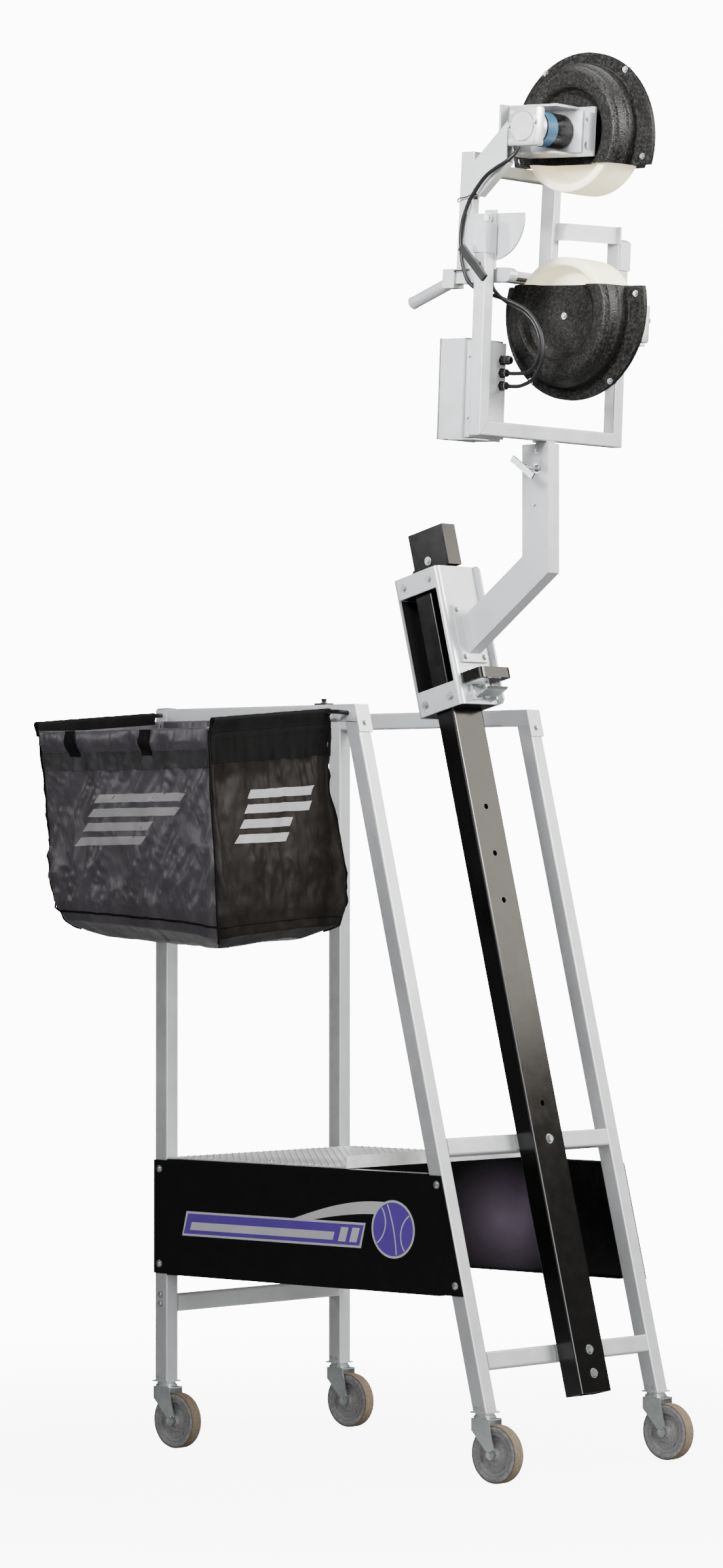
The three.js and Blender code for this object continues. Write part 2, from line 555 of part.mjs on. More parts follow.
addPart(yoke, 'power_switch', rocker(), PLASTIC, TRAY.rear - ROCKER.pivot, -184, ROCKER.z);

// ---------------------------------------------------------------- tilting head
const head = addGroup(yoke, YOKE.offset, 0, PIVOT, HEAD_LEAN);

function quadrant() {
  const start = Math.asin(QUADRANT.top / QUADRANT.radius);
  const steps = 22;
  const corners = Array.from({ length: steps + 1 }, (_, i) => {
    const angle = start - i * (Math.PI + 2 * start) / steps;
    return [QUADRANT.radius * Math.cos(angle), QUADRANT.radius * Math.sin(angle)];
  });
  const hole = alongY(rod(6.4, 12, 16)).translate(0, -210, 0);
  return cut(plate(corners.reverse(), QUADRANT.outer, QUADRANT.inner), hole);
}

addPart(head, 'tilt_quadrant', quadrant(), SILVER);

const MOTOR = { radius: 39, square: 86, cast: 25, outer: 209, inner: GUARD.half + GAP + 6 + GAP };
const PLATE_Y = GUARD.half + GAP;
const SHAFT_RADIUS = 8;

// Channel that carries a motor: y is measured inwards from the outside, as on the right-hand side.
function motorBracket(front, rear, z) {
  const base = box(rear, front, -PLATE_Y - 6, -PLATE_Y, z - 54, z + 54);
  const top = box(rear, front - 45, -150, -PLATE_Y - 1, z + 49, z + 54);
  const low = box(rear, front - 45, -150, -PLATE_Y - 1, z - 54, z - 49);
  const nose = box(front - 5, front, -PLATE_Y - 22, -PLATE_Y - 1, z - 40, z + 40);
  const hole = alongY(rod(SHAFT_RADIUS + 6, 20, 20)).translate(AXLE.x, -85, z);
  return cut(join(base, top, low, nose), hole);
}

const STAY = { rear: -75, front: 55, top: -106, tall: 32 };

// Right-hand upright with the slanting arm and channel that carry the upper motor, and a short stay.
function rightUpright() {
  const { x, deep, wide, right } = UPRIGHT;
  const tube = bar(deep, wide, 290, WALL, 3).translate(x, right, -140);
  const slope = 42.7 * Math.PI / 180;
  const arm = bar(71, wide, 190, WALL, 3).translate(0, 0, -30).rotateY(Math.PI / 2 - slope)
    .translate(-51, right, 97);
  const armSpace = box(x, 27, -300, 0, -100, 400);
  const web = box(-21, -15, right + wide / 2 - 1, -PLATE_Y - 1, AXLE.z - 54, AXLE.z + 54);
  const weld = box(-21, -15, right - 4, right + wide / 2, AXLE.z - 54, AXLE.z - 24);
  const stay = join(box(STAY.rear, STAY.front - STAY.tall / 2, right - wide / 2, right + wide / 2,
    STAY.top - STAY.tall, STAY.top), alongY(rod(STAY.tall / 2, wide, 16))
    .translate(STAY.front - STAY.tall / 2, right - wide / 2, STAY.top - STAY.tall / 2));
  return join(tube, common(arm, armSpace), web, weld, stay, motorBracket(165, -21, AXLE.z));
}

// Left-hand upright with the pivot strap and the channel of the lower motor.
function leftUpright() {
  const { x, deep, wide, left } = UPRIGHT;
  const tube = bar(deep, wide, 390, WALL, 3).translate(x, left, -240);
  const run = [[-60, left + 8], [-45, left + 13], [10, 206.7], [25, 206.7], [25, 201.2], [12, 201.2],
    [-43, left + 8], [-60, left + 3]];
  const shape = new THREE.Shape(run.map(([px, py]) => new THREE.Vector2(px, py)));
  const strap = extrude(shape, 38).translate(0, 0, -19);
  const tab = box(x + deep / 2 - 1, -50, left + 3, left + 8, -19, 19);
  const hole = alongY(rod(6.4, 30, 16)).translate(0, 190, 0);
  const channel = mirrored(motorBracket(200, x - deep / 2, -AXLE.z));
  const joinPad = box(x - deep / 2 + 2, x + deep / 2 - 2, PLATE_Y + 2, left - wide / 2 + 1, -235, -150);
  return cut(join(tube, tab, strap, channel, joinPad), hole);
}

addPart(head, 'right_upright', rightUpright(), SILVER);
addPart(head, 'left_upright', leftUpright(), SILVER);

const crossTube = () => alongY(bar(UPRIGHT.deep, 25.4,
  UPRIGHT.left - UPRIGHT.right - UPRIGHT.wide - 2 * GAP, WALL, 3))
  .translate(0, UPRIGHT.right + UPRIGHT.wide / 2 + GAP, 0);
addPart(head, 'upper_cross_tube', crossTube(), SILVER, UPRIGHT.x, 0, 116);
addPart(head, 'lower_cross_tube', crossTube(), SILVER, UPRIGHT.x, 0, -112);

// Aiming handle: a square block behind the right-hand upright and a round bar sloping down from it.
function aimHandle() {
  const rear = UPRIGHT.x - UPRIGHT.deep / 2 - GAP;
  const block = box(rear - 34, rear, UPRIGHT.right - 17, UPRIGHT.right + 17, -150, -108);
  const grip = rod(14, 128, 20).rotateY(-(90 + 22) * Math.PI / 180).translate(rear - 10, UPRIGHT.right, -131);
  return join(block, grip);
}

addPart(head, 'aim_handle', aimHandle(), SILVER);

// Motor with its square end casting; the shaft end faces the guard.
function motor() {
  const { radius, square, cast, outer, inner } = MOTOR;
  const end = alongY(bar(square, square, cast, 0, 8)).translate(0, -outer, 0);
  const body = alongY(rod(radius, outer - inner - cast + 1, 28)).translate(0, -outer + cast - 1, 0);
  const neckRing = alongY(rod(radius - 5, 6, 28)).translate(0, -outer + cast - 2, 0);
  const bore = alongY(rod(SHAFT_RADIUS + 0.4, 30, 16)).translate(0, -inner - 25, 0);
  return cut(join(end, body, neckRing), bore);
}

addPart(head, 'upper_motor', motor(), CAST, AXLE.x, 0, AXLE.z);
addPart(head, 'lower_motor', mirrored(motor()), CAST, AXLE.x, 0, -AXLE.z);

// ---------------------------------------------------------------- guards and throwing wheels
const SIDES = 32;

// Right-hand half shell of a guard whose opening faces down; it turns about the axle at its origin.
function guardShell(shaftHole) {
  const { cup, flange, half, shift, opening, skin } = GUARD;
  const face = -half;
  const floor = -38;
  const shell = turned([[0, floor], [84, floor], [102, face + 3], [106, face], [cup - 8, face], [cup, face + 8],
    [cup + 7, -9], [cup + 12, -GAP], [cup + 2, -GAP], [cup + 7 - skin, -9], [cup - skin, face + 8 + skin],
    [cup - 8 - skin / 2, face + skin], [108, face + skin], [90, floor + skin], [0, floor + skin]], SIDES);
  const disc = alongY(rod(flange, 5.5, SIDES)).translate(0, -GAP - 5.5, -shift);
  const clear = alongY(rod(cup + 5, 20, SIDES)).translate(0, -12, 0);
  const mouth = box(-300, 300, -100, 20, -400, -opening);
  const hole = alongY(rod(shaftHole, 60, 20)).translate(0, -80, 0);
  return cut(join(shell, cut(disc, clear)), mouth, hole);
}

const OPEN_HOLE = SHAFT_RADIUS + 8;
const SCREW_HOLE = 4;
const turnedOver = (geometry) => geometry.rotateY(Math.PI);
addPart(head, 'upper_guard_right', guardShell(OPEN_HOLE), PLASTIC, AXLE.x, 0, AXLE.z);
addPart(head, 'upper_guard_left', mirrored(guardShell(SCREW_HOLE)), PLASTIC, AXLE.x, 0, AXLE.z);
addPart(head, 'lower_guard_right', turnedOver(guardShell(SCREW_HOLE)), PLASTIC, AXLE.x, 0, -AXLE.z);
addPart(head, 'lower_guard_left', turnedOver(mirrored(guardShell(OPEN_HOLE))), PLASTIC, AXLE.x, 0, -AXLE.z);

// Cream urethane wheel: wide smooth tread, dished both sides, solid web.
function throwingWheel() {
  const { radius, half } = DRUM;
  return turned([[20.3, -18], [30, -18], [34, -8], [102, -8], [110, -half], [radius - 2, -half],
    [radius, 2 - half], [radius, half - 2], [radius - 2, half], [110, half], [102, 8], [34, 8], [30, 18],
    [20.3, 18]], SIDES);
}

// Steel shaft and hub that the wheel is pressed on, driven from the right-hand side.
function wheelHub() {
  const shaft = alongY(rod(SHAFT_RADIUS, MOTOR.inner + 20, 16)).translate(0, -MOTOR.inner - 20, 0);
  const hub = alongY(rod(20, 40, 24)).translate(0, -20, 0);
  const washer = alongY(rod(27, 4, 24)).translate(0, 18.3, 0);
  return join(shaft, hub, washer);
}

addPart(head, 'upper_throwing_wheel', throwingWheel(), CREAM, AXLE.x, 0, AXLE.z);
addPart(head, 'lower_throwing_wheel', throwingWheel(), CREAM, AXLE.x, 0, -AXLE.z);
addPart(head, 'upper_wheel_hub', wheelHub(), ZINC, AXLE.x, 0, AXLE.z);
addPart(head, 'lower_wheel_hub', mirrored(wheelHub()), ZINC, AXLE.x, 0, -AXLE.z);

// ---------------------------------------------------------------- ball bag
// Level sections of the bag from its rim down: height, then the plan box of its outer face.
const BAG_SKIN = 7;
const BAG_SAG = 0.075;                   // the rim drops outwards with the carrying rods
const BAG_LEVELS = [
  { z: 1664, x0: 26, x1: 566, y0: -402, y1: -9, corner: 16 },
  { z: 1640, x0: 28, x1: 566, y0: -403, y1: -9, corner: 20 },
  { z: 1500, x0: 36, x1: 578, y0: -408, y1: 16, corner: 36 },
  { z: 1350, x0: 44, x1: 590, y0: -409.47, y1: 38, corner: 40 },
  { z: 1250, x0: 46, x1: 592, y0: -406, y1: 40, corner: 42 },
  { z: 1205, x0: 70, x1: 586, y0: -394, y1: 34, corner: 55 },
  { z: 1184, x0: 150, x1: 540, y0: -345, y1: -20, corner: 75 },
];
// The load settles towards the outer front corner, so the bag's floor hangs lowest there.
const BAG_TILT = { from: 1350, to: 1205, rear: 17, slope: 0.082, x: 60, y: 40, reach: 440 };
const clamp = (t) => Math.min(1, Math.max(0, t));

function bagDroop(x, y, z) {
  const { from, to, rear, slope, x: x0, y: y0, reach } = BAG_TILT;
  return clamp((from - z) / (from - to)) * clamp((y0 - y) / reach) * (rear - slope * (x - x0));
}

const CORNER_STEPS = 5;

// Rounded rectangle at one level, drawn inset from the bag's outer face.
function bagLoop({ z, x0, x1, y0, y1, corner }, inset) {
  const radius = corner - inset;
  const fade = Math.max(0, (z - 1250) / (BAG_LEVELS[0].z - 1250));
  const centres = [[x1, y1, -1, -1], [x0, y1, 1, -1], [x0, y0, 1, 1], [x1, y0, -1, 1]];
  return centres.flatMap(([x, y, sx, sy], quarter) => Array.from({ length: CORNER_STEPS + 1 }, (_, i) => {
    const angle = (quarter + i / CORNER_STEPS) * Math.PI / 2;
    const px = x + sx * corner + radius * Math.cos(angle);
    const py = y + sy * corner + radius * Math.sin(angle);
    return [px, py, z + BAG_SAG * py * fade + bagDroop(px, py, z)];
  }));
}

const BAG_SIDES = 4 * (CORNER_STEPS + 1);

function ballBag() {
  const outer = BAG_LEVELS.map((level) => bagLoop(level, 0));
  const inner = BAG_LEVELS.map((level, i) =>
    bagLoop({ ...level, z: level.z + (i && BAG_SKIN * i / (BAG_LEVELS.length - 1)) }, BAG_SKIN));
  const rings = [...outer.reverse(), ...inner];
  const points = rings.flat();
  const faces = [];
  for (let r = 0; r + 1 < rings.length; r += 1) {
    for (let i = 0; i < BAG_SIDES; i += 1) {
      const [a, b] = [r * BAG_SIDES + i, r * BAG_SIDES + (i + 1) % BAG_SIDES];
      faces.push(a, b, b + BAG_SIDES, a, b + BAG_SIDES, a + BAG_SIDES);
    }
  }
  const last = (rings.length - 1) * BAG_SIDES;
  for (let i = 1; i + 1 < BAG_SIDES; i += 1) faces.push(0, i + 1, i, last, last + i, last + i + 1);
  const geometry = new THREE.BufferGeometry();
  geometry.setAttribute('position', new THREE.Float32BufferAttribute(points.flat(), 3));
  geometry.setIndex(faces);
  geometry.computeVertexNormals();
  return geometry;
}

addPart(machine, 'ball_bag', ballBag(), NYLON);

// Carrying rods, hooked into the head of the frame and sloping gently down as they reach outwards.
const ROD_RADIUS = 5;

function sweep(points, radius, sides, steps) {
  const path = new THREE.CatmullRomCurve3(points.map((p) => new THREE.Vector3(...p)));
  const shape = new THREE.Shape(Array.from({ length: sides }, (_, i) => {
    const angle = 2 * Math.PI * i / sides;
    return new THREE.Vector2(radius * Math.cos(angle), radius * Math.sin(angle));
  }));
  return new THREE.ExtrudeGeometry(shape, { steps, bevelEnabled: false, extrudePath: path });
}

const rodHeight = (y) => 1677 + BAG_SAG * y;
addPart(machine, 'bag_rod_front', sweep([[606, -4.6, 1672], [605, -14, 1672.5], [590, -32, 1674],
  [573, -52, rodHeight(-52)], [573, -120, rodHeight(-120)], [573, -260, rodHeight(-260)],
  [573, -402, rodHeight(-402)]], ROD_RADIUS, 8, 20), PLASTIC);
addPart(machine, 'bag_rod_rear', sweep([[21, -1, 1677], [21, -60, rodHeight(-60)],
  [22, -230, rodHeight(-230)], [23, -402, rodHeight(-402)]], ROD_RADIUS, 8, 8), PLASTIC);

// ---------------------------------------------------------------- motor cables
// The upper motor's cable runs down outside the right-hand upright, then both cables make one loop
// forwards past the right arm and turn back into the control box's lid.
const CABLE_RADIUS = 4.5;
const UPPER_ROUTE = [
  [52, -197, 156.5], [52, -197.4, 148], [46, -203, 136], [32, -209, 123], [4, -212, 108], [-22, -212, 92],
  [-46, -212.5, 66], [-66, -213, 36], [-80, -213, 0], [-84, -213, -34], [-81, -213, -70], [-74, -212, -104],
  [-61, -208, -136], [-42, -198, -153], [-20, -186, -162], [10, -176, -171], [40, -167, -182],
  [72, -160, -199], [98, -156, -225], [113, -153, -257], [116, -151, -290], [107, -148, -322],
  [84, -145, -348], [50, -142, -361], [24, -140.5, -362.5], [6.2, -140, -361.3],
];
const LOWER_ROUTE = [
  [52, 197, -156.5], [52, 196.6, -148], [44, 189, -137], [22, 172, -128], [-8, 148, -122], [-40, 122, -119],
  [-57, 98, -118], [-60.5, 70, -118], [-60.5, 30, -118], [-60.5, -20, -118], [-60.5, -70, -118],
  [-59, -110, -119], [-50, -140, -127], [-32, -157, -147], [-4, -162, -168], [28, -157, -187],
  [60, -152, -203], [84, -147, -226], [97, -144, -256], [99, -141, -286], [88, -138, -313],
  [62, -137, -331], [32, -139, -334], [14, -140, -333.8], [5.6, -140, -333.3],
];

addPart(head, 'upper_motor_cable', sweep(UPPER_ROUTE, CABLE_RADIUS, 8, 44), CABLE);
addPart(head, 'lower_motor_cable', sweep(LOWER_ROUTE, CABLE_RADIUS, 8, 44), CABLE);

export default machine;
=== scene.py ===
"""Looks of a volleyball serving machine on a platform cart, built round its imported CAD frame."""
import json
import math

import bmesh
import bpy
from mathutils import Matrix, Vector, noise


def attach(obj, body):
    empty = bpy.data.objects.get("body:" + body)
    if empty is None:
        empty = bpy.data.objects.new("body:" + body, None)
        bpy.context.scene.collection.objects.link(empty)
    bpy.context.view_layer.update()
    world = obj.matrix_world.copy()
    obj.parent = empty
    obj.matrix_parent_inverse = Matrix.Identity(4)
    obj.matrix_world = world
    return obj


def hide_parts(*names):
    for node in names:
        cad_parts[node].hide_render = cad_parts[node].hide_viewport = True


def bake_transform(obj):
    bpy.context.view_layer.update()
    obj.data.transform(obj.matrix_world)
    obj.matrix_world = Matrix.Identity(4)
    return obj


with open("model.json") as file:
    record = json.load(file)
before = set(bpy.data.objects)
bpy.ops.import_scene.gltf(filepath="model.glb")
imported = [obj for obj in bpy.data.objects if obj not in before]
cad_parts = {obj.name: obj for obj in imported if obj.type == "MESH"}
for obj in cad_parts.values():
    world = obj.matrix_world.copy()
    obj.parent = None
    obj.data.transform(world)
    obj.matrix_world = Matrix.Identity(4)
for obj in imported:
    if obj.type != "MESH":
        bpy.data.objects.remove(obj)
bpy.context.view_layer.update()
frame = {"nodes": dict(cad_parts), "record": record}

NODES = frame["nodes"]
MM = 0.001

# ------------------------------------------------------------ driving dimensions, in millimetres
ORIGIN = Vector((608.33, 109.99, 0))     # plan centre, from the rear right-hand corner of the frame
TUBE = 38.1
LENGTH = 1009
WIDTH = 622
MID = WIDTH / 2
FOOT = 153.3
FRAME_TOP = 1691.5
LEAN = math.atan(0.251)
COS, SIN = math.cos(LEAN), math.sin(LEAN)
PANEL_FACE = 2.8                         # outside of the side panels, beyond the frame's width
DECK_FRONT, DECK_TOP = 598, 665.3
MAST_OUT = 6 + 0.3 + 50.8 / 2            # pad, gap and half the mast's depth, from the front legs' face
SLEEVE_SIDE = 66                         # half width of the carriage sleeve
FLANGE_LEVEL = 1728                      # middle of the neck's flange, along the mast
PIVOT = 481                              # height of the head's tilt axis over the yoke
AXLE_X, AXLE_Z = 76, 200                 # throwing wheels' axles, from the tilt axis
DRUM_RADIUS, DRUM_HALF = 130, 55         # throwing wheel
CUP, GUARD_HALF, MOUTH = 150, 66, 68     # guard's inner radius, half width, and the cut towards the ball
FLANGE_RADIUS, GUARD_SHIFT, BOLT_CIRCLE = 200, 16, 182
MOTOR_FACE, PAD_FACE = 209, 72.5         # faces of the motor's end and of its mounting pad, from mid width
WHEEL_RADIUS, TRAIL = 63.5, 36           # caster
BOX_TOP, BOX_BACK = 219.2, -93           # control box, in the yoke's frame
DIAL_LEVEL = 122
FRONT_FOOT_X = LENGTH - TUBE / 2 / COS


def placed(x, y, z, turn=0.0):
    """Matrix from a local millimetre frame, turned about Y, to the row frame in metres."""
    return (Matrix.Scale(MM, 4) @ Matrix.Translation(Vector((x, y, z)) - ORIGIN)
            @ Matrix.Rotation(turn, 4, "Y"))


CART = placed(0, 0, 0)
MAST = placed(LENGTH + MAST_OUT * COS, MID, FOOT + MAST_OUT * SIN, -LEAN)
YOKE = placed(905, MID, 2270, math.radians(2.6))
HEAD = YOKE @ Matrix.Translation((11, 0, PIVOT)) @ Matrix.Rotation(math.radians(1.1), 4, "Y")


# ------------------------------------------------------------ camera, as fitted to the photograph
CAMERA_AT, LENS = (7.54593, -8.28578, 1.35084), 115.3
AZIMUTH, PITCH = math.radians(42.57), math.radians(0.84)


def add_object(name, data):
    obj = bpy.data.objects.new(name, data)
    bpy.context.scene.collection.objects.link(obj)
    return obj


def add_camera():
    data = bpy.data.cameras.new("camera")
    data.lens, data.sensor_width, data.clip_end = LENS, 36, 100
    camera = add_object("camera", data)
    level = math.cos(PITCH)
    look = Vector((-math.sin(AZIMUTH) * level, math.cos(AZIMUTH) * level, math.sin(PITCH)))
    camera.location = CAMERA_AT
    camera.rotation_euler = look.to_track_quat("-Z", "Y").to_euler()
    bpy.context.scene.camera = camera


# ------------------------------------------------------------ mesh building
def round_points(radius, count, first=0.0):
    """Evenly spaced points round a circle in its own plane."""
    return [(radius * math.cos(a), radius * math.sin(a))
            for a in (2 * math.pi * (i + first) / count for i in range(count))]


def skin(bm, first, second):
    """Quads between two closed loops of vertices."""
    count = len(first)
    return [bm.faces.new((first[k], first[(k + 1) % count], second[(k + 1) % count], second[k]))
            for k in range(count)]


def lathe(bm, profile, sides=96, centre=(0, 0, 0)):
    """Turns a closed (radius, y) profile about the Y axis through centre."""
    c = Vector(centre)
    rings = [[bm.verts.new(c + Vector((r * x, y, r * z))) for r, y in profile]
             for x, z in round_points(1, sides)]
    return [face for ring, after in zip(rings, rings[1:] + rings[:1]) for face in skin(bm, ring, after)]


def rounded(profile, radius=2.0, steps=3):
    """A closed profile with each corner replaced by a short arc."""
    out = []
    for i, p in enumerate(profile):
        p, a, b = Vector(p), Vector(profile[i - 1]), Vector(profile[(i + 1) % len(profile)])
        r = min(radius, (a - p).length * 0.45, (b - p).length * 0.45)
        start, end = p + (a - p).normalized() * r, p + (b - p).normalized() * r
        for k in range(steps + 1):
            t = k / steps
            out.append((start * (1 - t) + p * t) * (1 - t) + (p * (1 - t) + end * t) * t)
    return [tuple(v) for v in out]


def slab(bm, low, high, bevel=0.0):
    size = [h - l for l, h in zip(low, high)]
    centre = [(l + h) / 2 for l, h in zip(low, high)]
    made = bmesh.ops.create_cube(bm, size=1, matrix=Matrix.Translation(centre) @ Matrix.Diagonal((*size, 1)))
    if bevel:
        edges = {e for v in made["verts"] for e in v.link_edges}
        bmesh.ops.bevel(bm, geom=list(edges), offset=bevel, segments=2, profile=0.6, affect="EDGES")


def rod(bm, start, end, radius, sides=24, tip=None, bevel=0.0):
    """Cylinder, or cone when tip is given, from one point to another."""
    a, b = Vector(start), Vector(end)
    turn = Vector((0, 0, 1)).rotation_difference(b - a).to_matrix().to_4x4()
    made = bmesh.ops.create_cone(bm, cap_ends=True, segments=sides, radius1=radius,
                                 radius2=radius if tip is None else tip, depth=(b - a).length,
                                 matrix=Matrix.Translation((a + b) / 2) @ turn)
    if bevel:
        ends = {f for v in made["verts"] for f in v.link_faces if len(f.verts) == sides}
        bmesh.ops.bevel(bm, geom=[e for f in ends for e in f.edges], offset=bevel, segments=2,
                        affect="EDGES")


def tube(bm, path, radius, sides=12):
    """Round tube along a list of points, with closed ends."""
    points = [Vector(p) for p in path]
    side = None
    rings = []
    for i, p in enumerate(points):
        along = (points[min(i + 1, len(points) - 1)] - points[max(i - 1, 0)]).normalized()
        side = along.orthogonal() if side is None else side - along * side.dot(along)
        side.normalize()
        up = along.cross(side)
        rings.append([bm.verts.new(p + radius * (u * side + v * up)) for u, v in round_points(1, sides)])
    for first, second in zip(rings, rings[1:]):
        skin(bm, first, second)
    bm.faces.new(rings[0][::-1])
    bm.faces.new(rings[-1])


def smooth_path(points, steps=6):
    """Catmull-Rom curve through given points."""
    p = [Vector(q) for q in points]
    p = [2 * p[0] - p[1], *p, 2 * p[-1] - p[-2]]
    out = []
    for a, b, c, d in zip(p, p[1:], p[2:], p[3:]):
        for k in range(steps):
            t = k / steps
            out.append(0.5 * (2 * b + (c - a) * t + (2 * a - 5 * b + 4 * c - d) * t * t
                              + (3 * b - a - 3 * c + d) * t ** 3))
    return [*out, p[-2]]


def bolt(bm, at, facing, radius=6.0, proud=4.0):
    """Domed button head on a washer."""
    at, n = Vector(at), Vector(facing).normalized()
    rod(bm, at - n * 0.5, at + n * 1.2, radius * 1.45, 24, bevel=0.4)
    rod(bm, at + n * 1.2, at + n * (1.2 + proud * 0.5), radius, 24)
    rod(bm, at + n * (1.2 + proud * 0.5), at + n * (1.2 + proud), radius, 24, tip=radius * 0.6)
    rod(bm, at + n * (1.1 + proud), at + n * (1.4 + proud), radius * 0.42, 6)


def hex_bolt(bm, at, facing, radius=8.0, proud=5.5):
    at, n = Vector(at), Vector(facing).normalized()
    rod(bm, at - n * 0.5, at + n * 1.4, radius * 1.4, 24, bevel=0.4)
    rod(bm, at + n * 1.4, at + n * (1.4 + proud), radius, 6, bevel=0.8)


def piece(name, bm, matrix, body, look, smooth=35, stands_for=()):
    """Turns a bmesh in local millimetres into an object that rides on a body and wears a look from M."""
    bm.transform(matrix)
    bmesh.ops.recalc_face_normals(bm, faces=bm.faces)
    mesh = bpy.data.meshes.new(name)
    bm.to_mesh(mesh)
    bm.free()
    obj = add_object(name, mesh)
    mesh.materials.append(M[look])
    shade(obj, smooth)
    if body:
        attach(obj, body)
    if stands_for:
        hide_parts(*stands_for)
    return obj


def shade(obj, degrees):
    """Smooth shading, with edges sharper than the angle kept sharp."""
    mesh = obj.data
    mesh.polygons.foreach_set("use_smooth", [True] * len(mesh.polygons))
    mesh.set_sharp_from_angle(angle=math.radians(degrees))


# ------------------------------------------------------------ materials
def new_material(name, colour, roughness, metallic=0.0, **sockets):
    material = bpy.data.materials.new(name)
    material.use_nodes = True
    shader = material.node_tree.nodes["Principled BSDF"]
    shader.inputs["Base Color"].default_value = (*colour, 1)
    shader.inputs["Roughness"].default_value = roughness
    shader.inputs["Metallic"].default_value = metallic
    for key, value in sockets.items():
        shader.inputs[key.replace("_", " ").title().replace("Ior", "IOR")].default_value = value
    return material


def node(tree, kind, **settings):
    """A new shader node: a setting is one of its own attributes, or else an input's value."""
    made = tree.nodes.new(kind)
    for key, value in settings.items():
        if hasattr(made, key):
            setattr(made, key, value)
        else:
            made.inputs[key].default_value = value
    return made


def coordinates(tree, scale=(1, 1, 1), centre=(0, 0, 0), lean=0.0):
    """Object coordinates from a centre, turned about Y, then stretched for brushed or woven patterns."""
    source = node(tree, "ShaderNodeTexCoord")
    mapping = node(tree, "ShaderNodeMapping", Scale=scale, Location=[-c * s for c, s in zip(centre, scale)])
    turned = node(tree, "ShaderNodeVectorRotate", rotation_type="Y_AXIS", Angle=lean)
    tree.links.new(source.outputs["Object"], turned.inputs["Vector"])
    tree.links.new(turned.outputs["Vector"], mapping.inputs["Vector"])
    return mapping.outputs["Vector"]


def even_noise(tree, scale, value, spread):
    """A value that wanders a little either side of itself over the surface."""
    return ramp(tree, noise_field(tree, scale, 3), [(0.3, value * (1 - spread)), (0.7, value * (1 + spread))])


def noise_field(tree, scale, detail=4.0, roughness=0.55, stretch=(1, 1, 1), lean=0.0):
    field = node(tree, "ShaderNodeTexNoise", Scale=scale, Detail=detail, Roughness=roughness)
    tree.links.new(coordinates(tree, stretch, lean=lean), field.inputs["Vector"])
    return field.outputs["Fac"]


def ramp(tree, factor, stops):
    made = node(tree, "ShaderNodeValToRGB")
    elements = made.color_ramp.elements
    while len(elements) < len(stops):
        elements.new(0.5)
    for element, (position, value) in zip(elements, stops):
        element.position = position
        element.color = (*value, 1) if hasattr(value, "__len__") else (value, value, value, 1)
    tree.links.new(factor, made.inputs["Fac"])
    return made.outputs["Color"]


def bump(material, height, strength, distance=0.001):
    tree = material.node_tree
    made = node(tree, "ShaderNodeBump", Strength=strength, Distance=distance)
    tree.links.new(height, made.inputs["Height"])
    before = tree.nodes["Principled BSDF"].inputs["Normal"]
    if before.links:
        tree.links.new(before.links[0].from_socket, made.inputs["Normal"])
    tree.links.new(made.outputs["Normal"], before)


def link(material, colour=None, roughness=None):
    shader = material.node_tree.nodes["Principled BSDF"]
    if colour is not None:
        material.node_tree.links.new(colour, shader.inputs["Base Color"])
    if roughness is not None:
        material.node_tree.links.new(roughness, shader.inputs["Roughness"])


def painted(name, colour, roughness, metallic=0.0, orange_peel=0.25, spread=0.06, **sockets):
    """Powder coat: a fine orange peel, faint mottling and a slightly uneven sheen."""
    material = new_material(name, colour, roughness, metallic, **sockets)
    tree = material.node_tree
    mottle = noise_field(tree, 9, 5)
    low = [c * (1 - spread) for c in colour]
    high = [min(1, c * (1 + spread)) for c in colour]
    link(material, ramp(tree, mottle, [(0.3, low), (0.7, high)]), even_noise(tree, 30, roughness, 0.15))
    bump(material, noise_field(tree, 900, 2), orange_peel, 0.0002)
    return material


def brushed(name, colour, roughness, stretch=(1, 1, 40), metallic=0.7):
    """Zinc-plated or brushed steel, with fine drawn lines and cloudy plating."""
    material = new_material(name, colour, roughness, metallic)
    tree = material.node_tree
    lines = noise_field(tree, 60, 5, 0.7, stretch)
    low = [c * 0.8 for c in colour]
    link(material, ramp(tree, noise_field(tree, 40, 3), [(0.3, low), (0.7, colour)]),
         ramp(tree, lines, [(0.2, roughness * 0.7), (0.8, roughness * 1.3)]))
    bump(material, lines, 0.15, 0.0002)
    return material


def moulded(name, colour, roughness, grain=700, depth=0.6, highlight_fleck=1.5, **sockets):
    """Moulded plastic with a leathery grain, and painted highlights: noise scatters lighter flecks through
    the base colour.
    """
    material = new_material(name, colour, roughness, **sockets)
    tree = material.node_tree
    cells = node(tree, "ShaderNodeTexVoronoi", Scale=grain)
    tree.links.new(coordinates(tree), cells.inputs["Vector"])
    highlight_speckle = noise_field(tree, grain * 0.6, 3)
    high = [min(1, c * highlight_fleck + 0.002) for c in colour]
    link(material, ramp(tree, highlight_speckle, [(0.42, colour), (0.68, high)]),
         ramp(tree, highlight_speckle, [(0.3, roughness * 0.8), (0.7, min(1, roughness * 1.2))]))
    bump(material, cells.outputs["Distance"], depth, 0.0006)
    return material


CREASE_LEAN = math.radians(20)
WEAVE = 420                              # threads to the metre, near enough


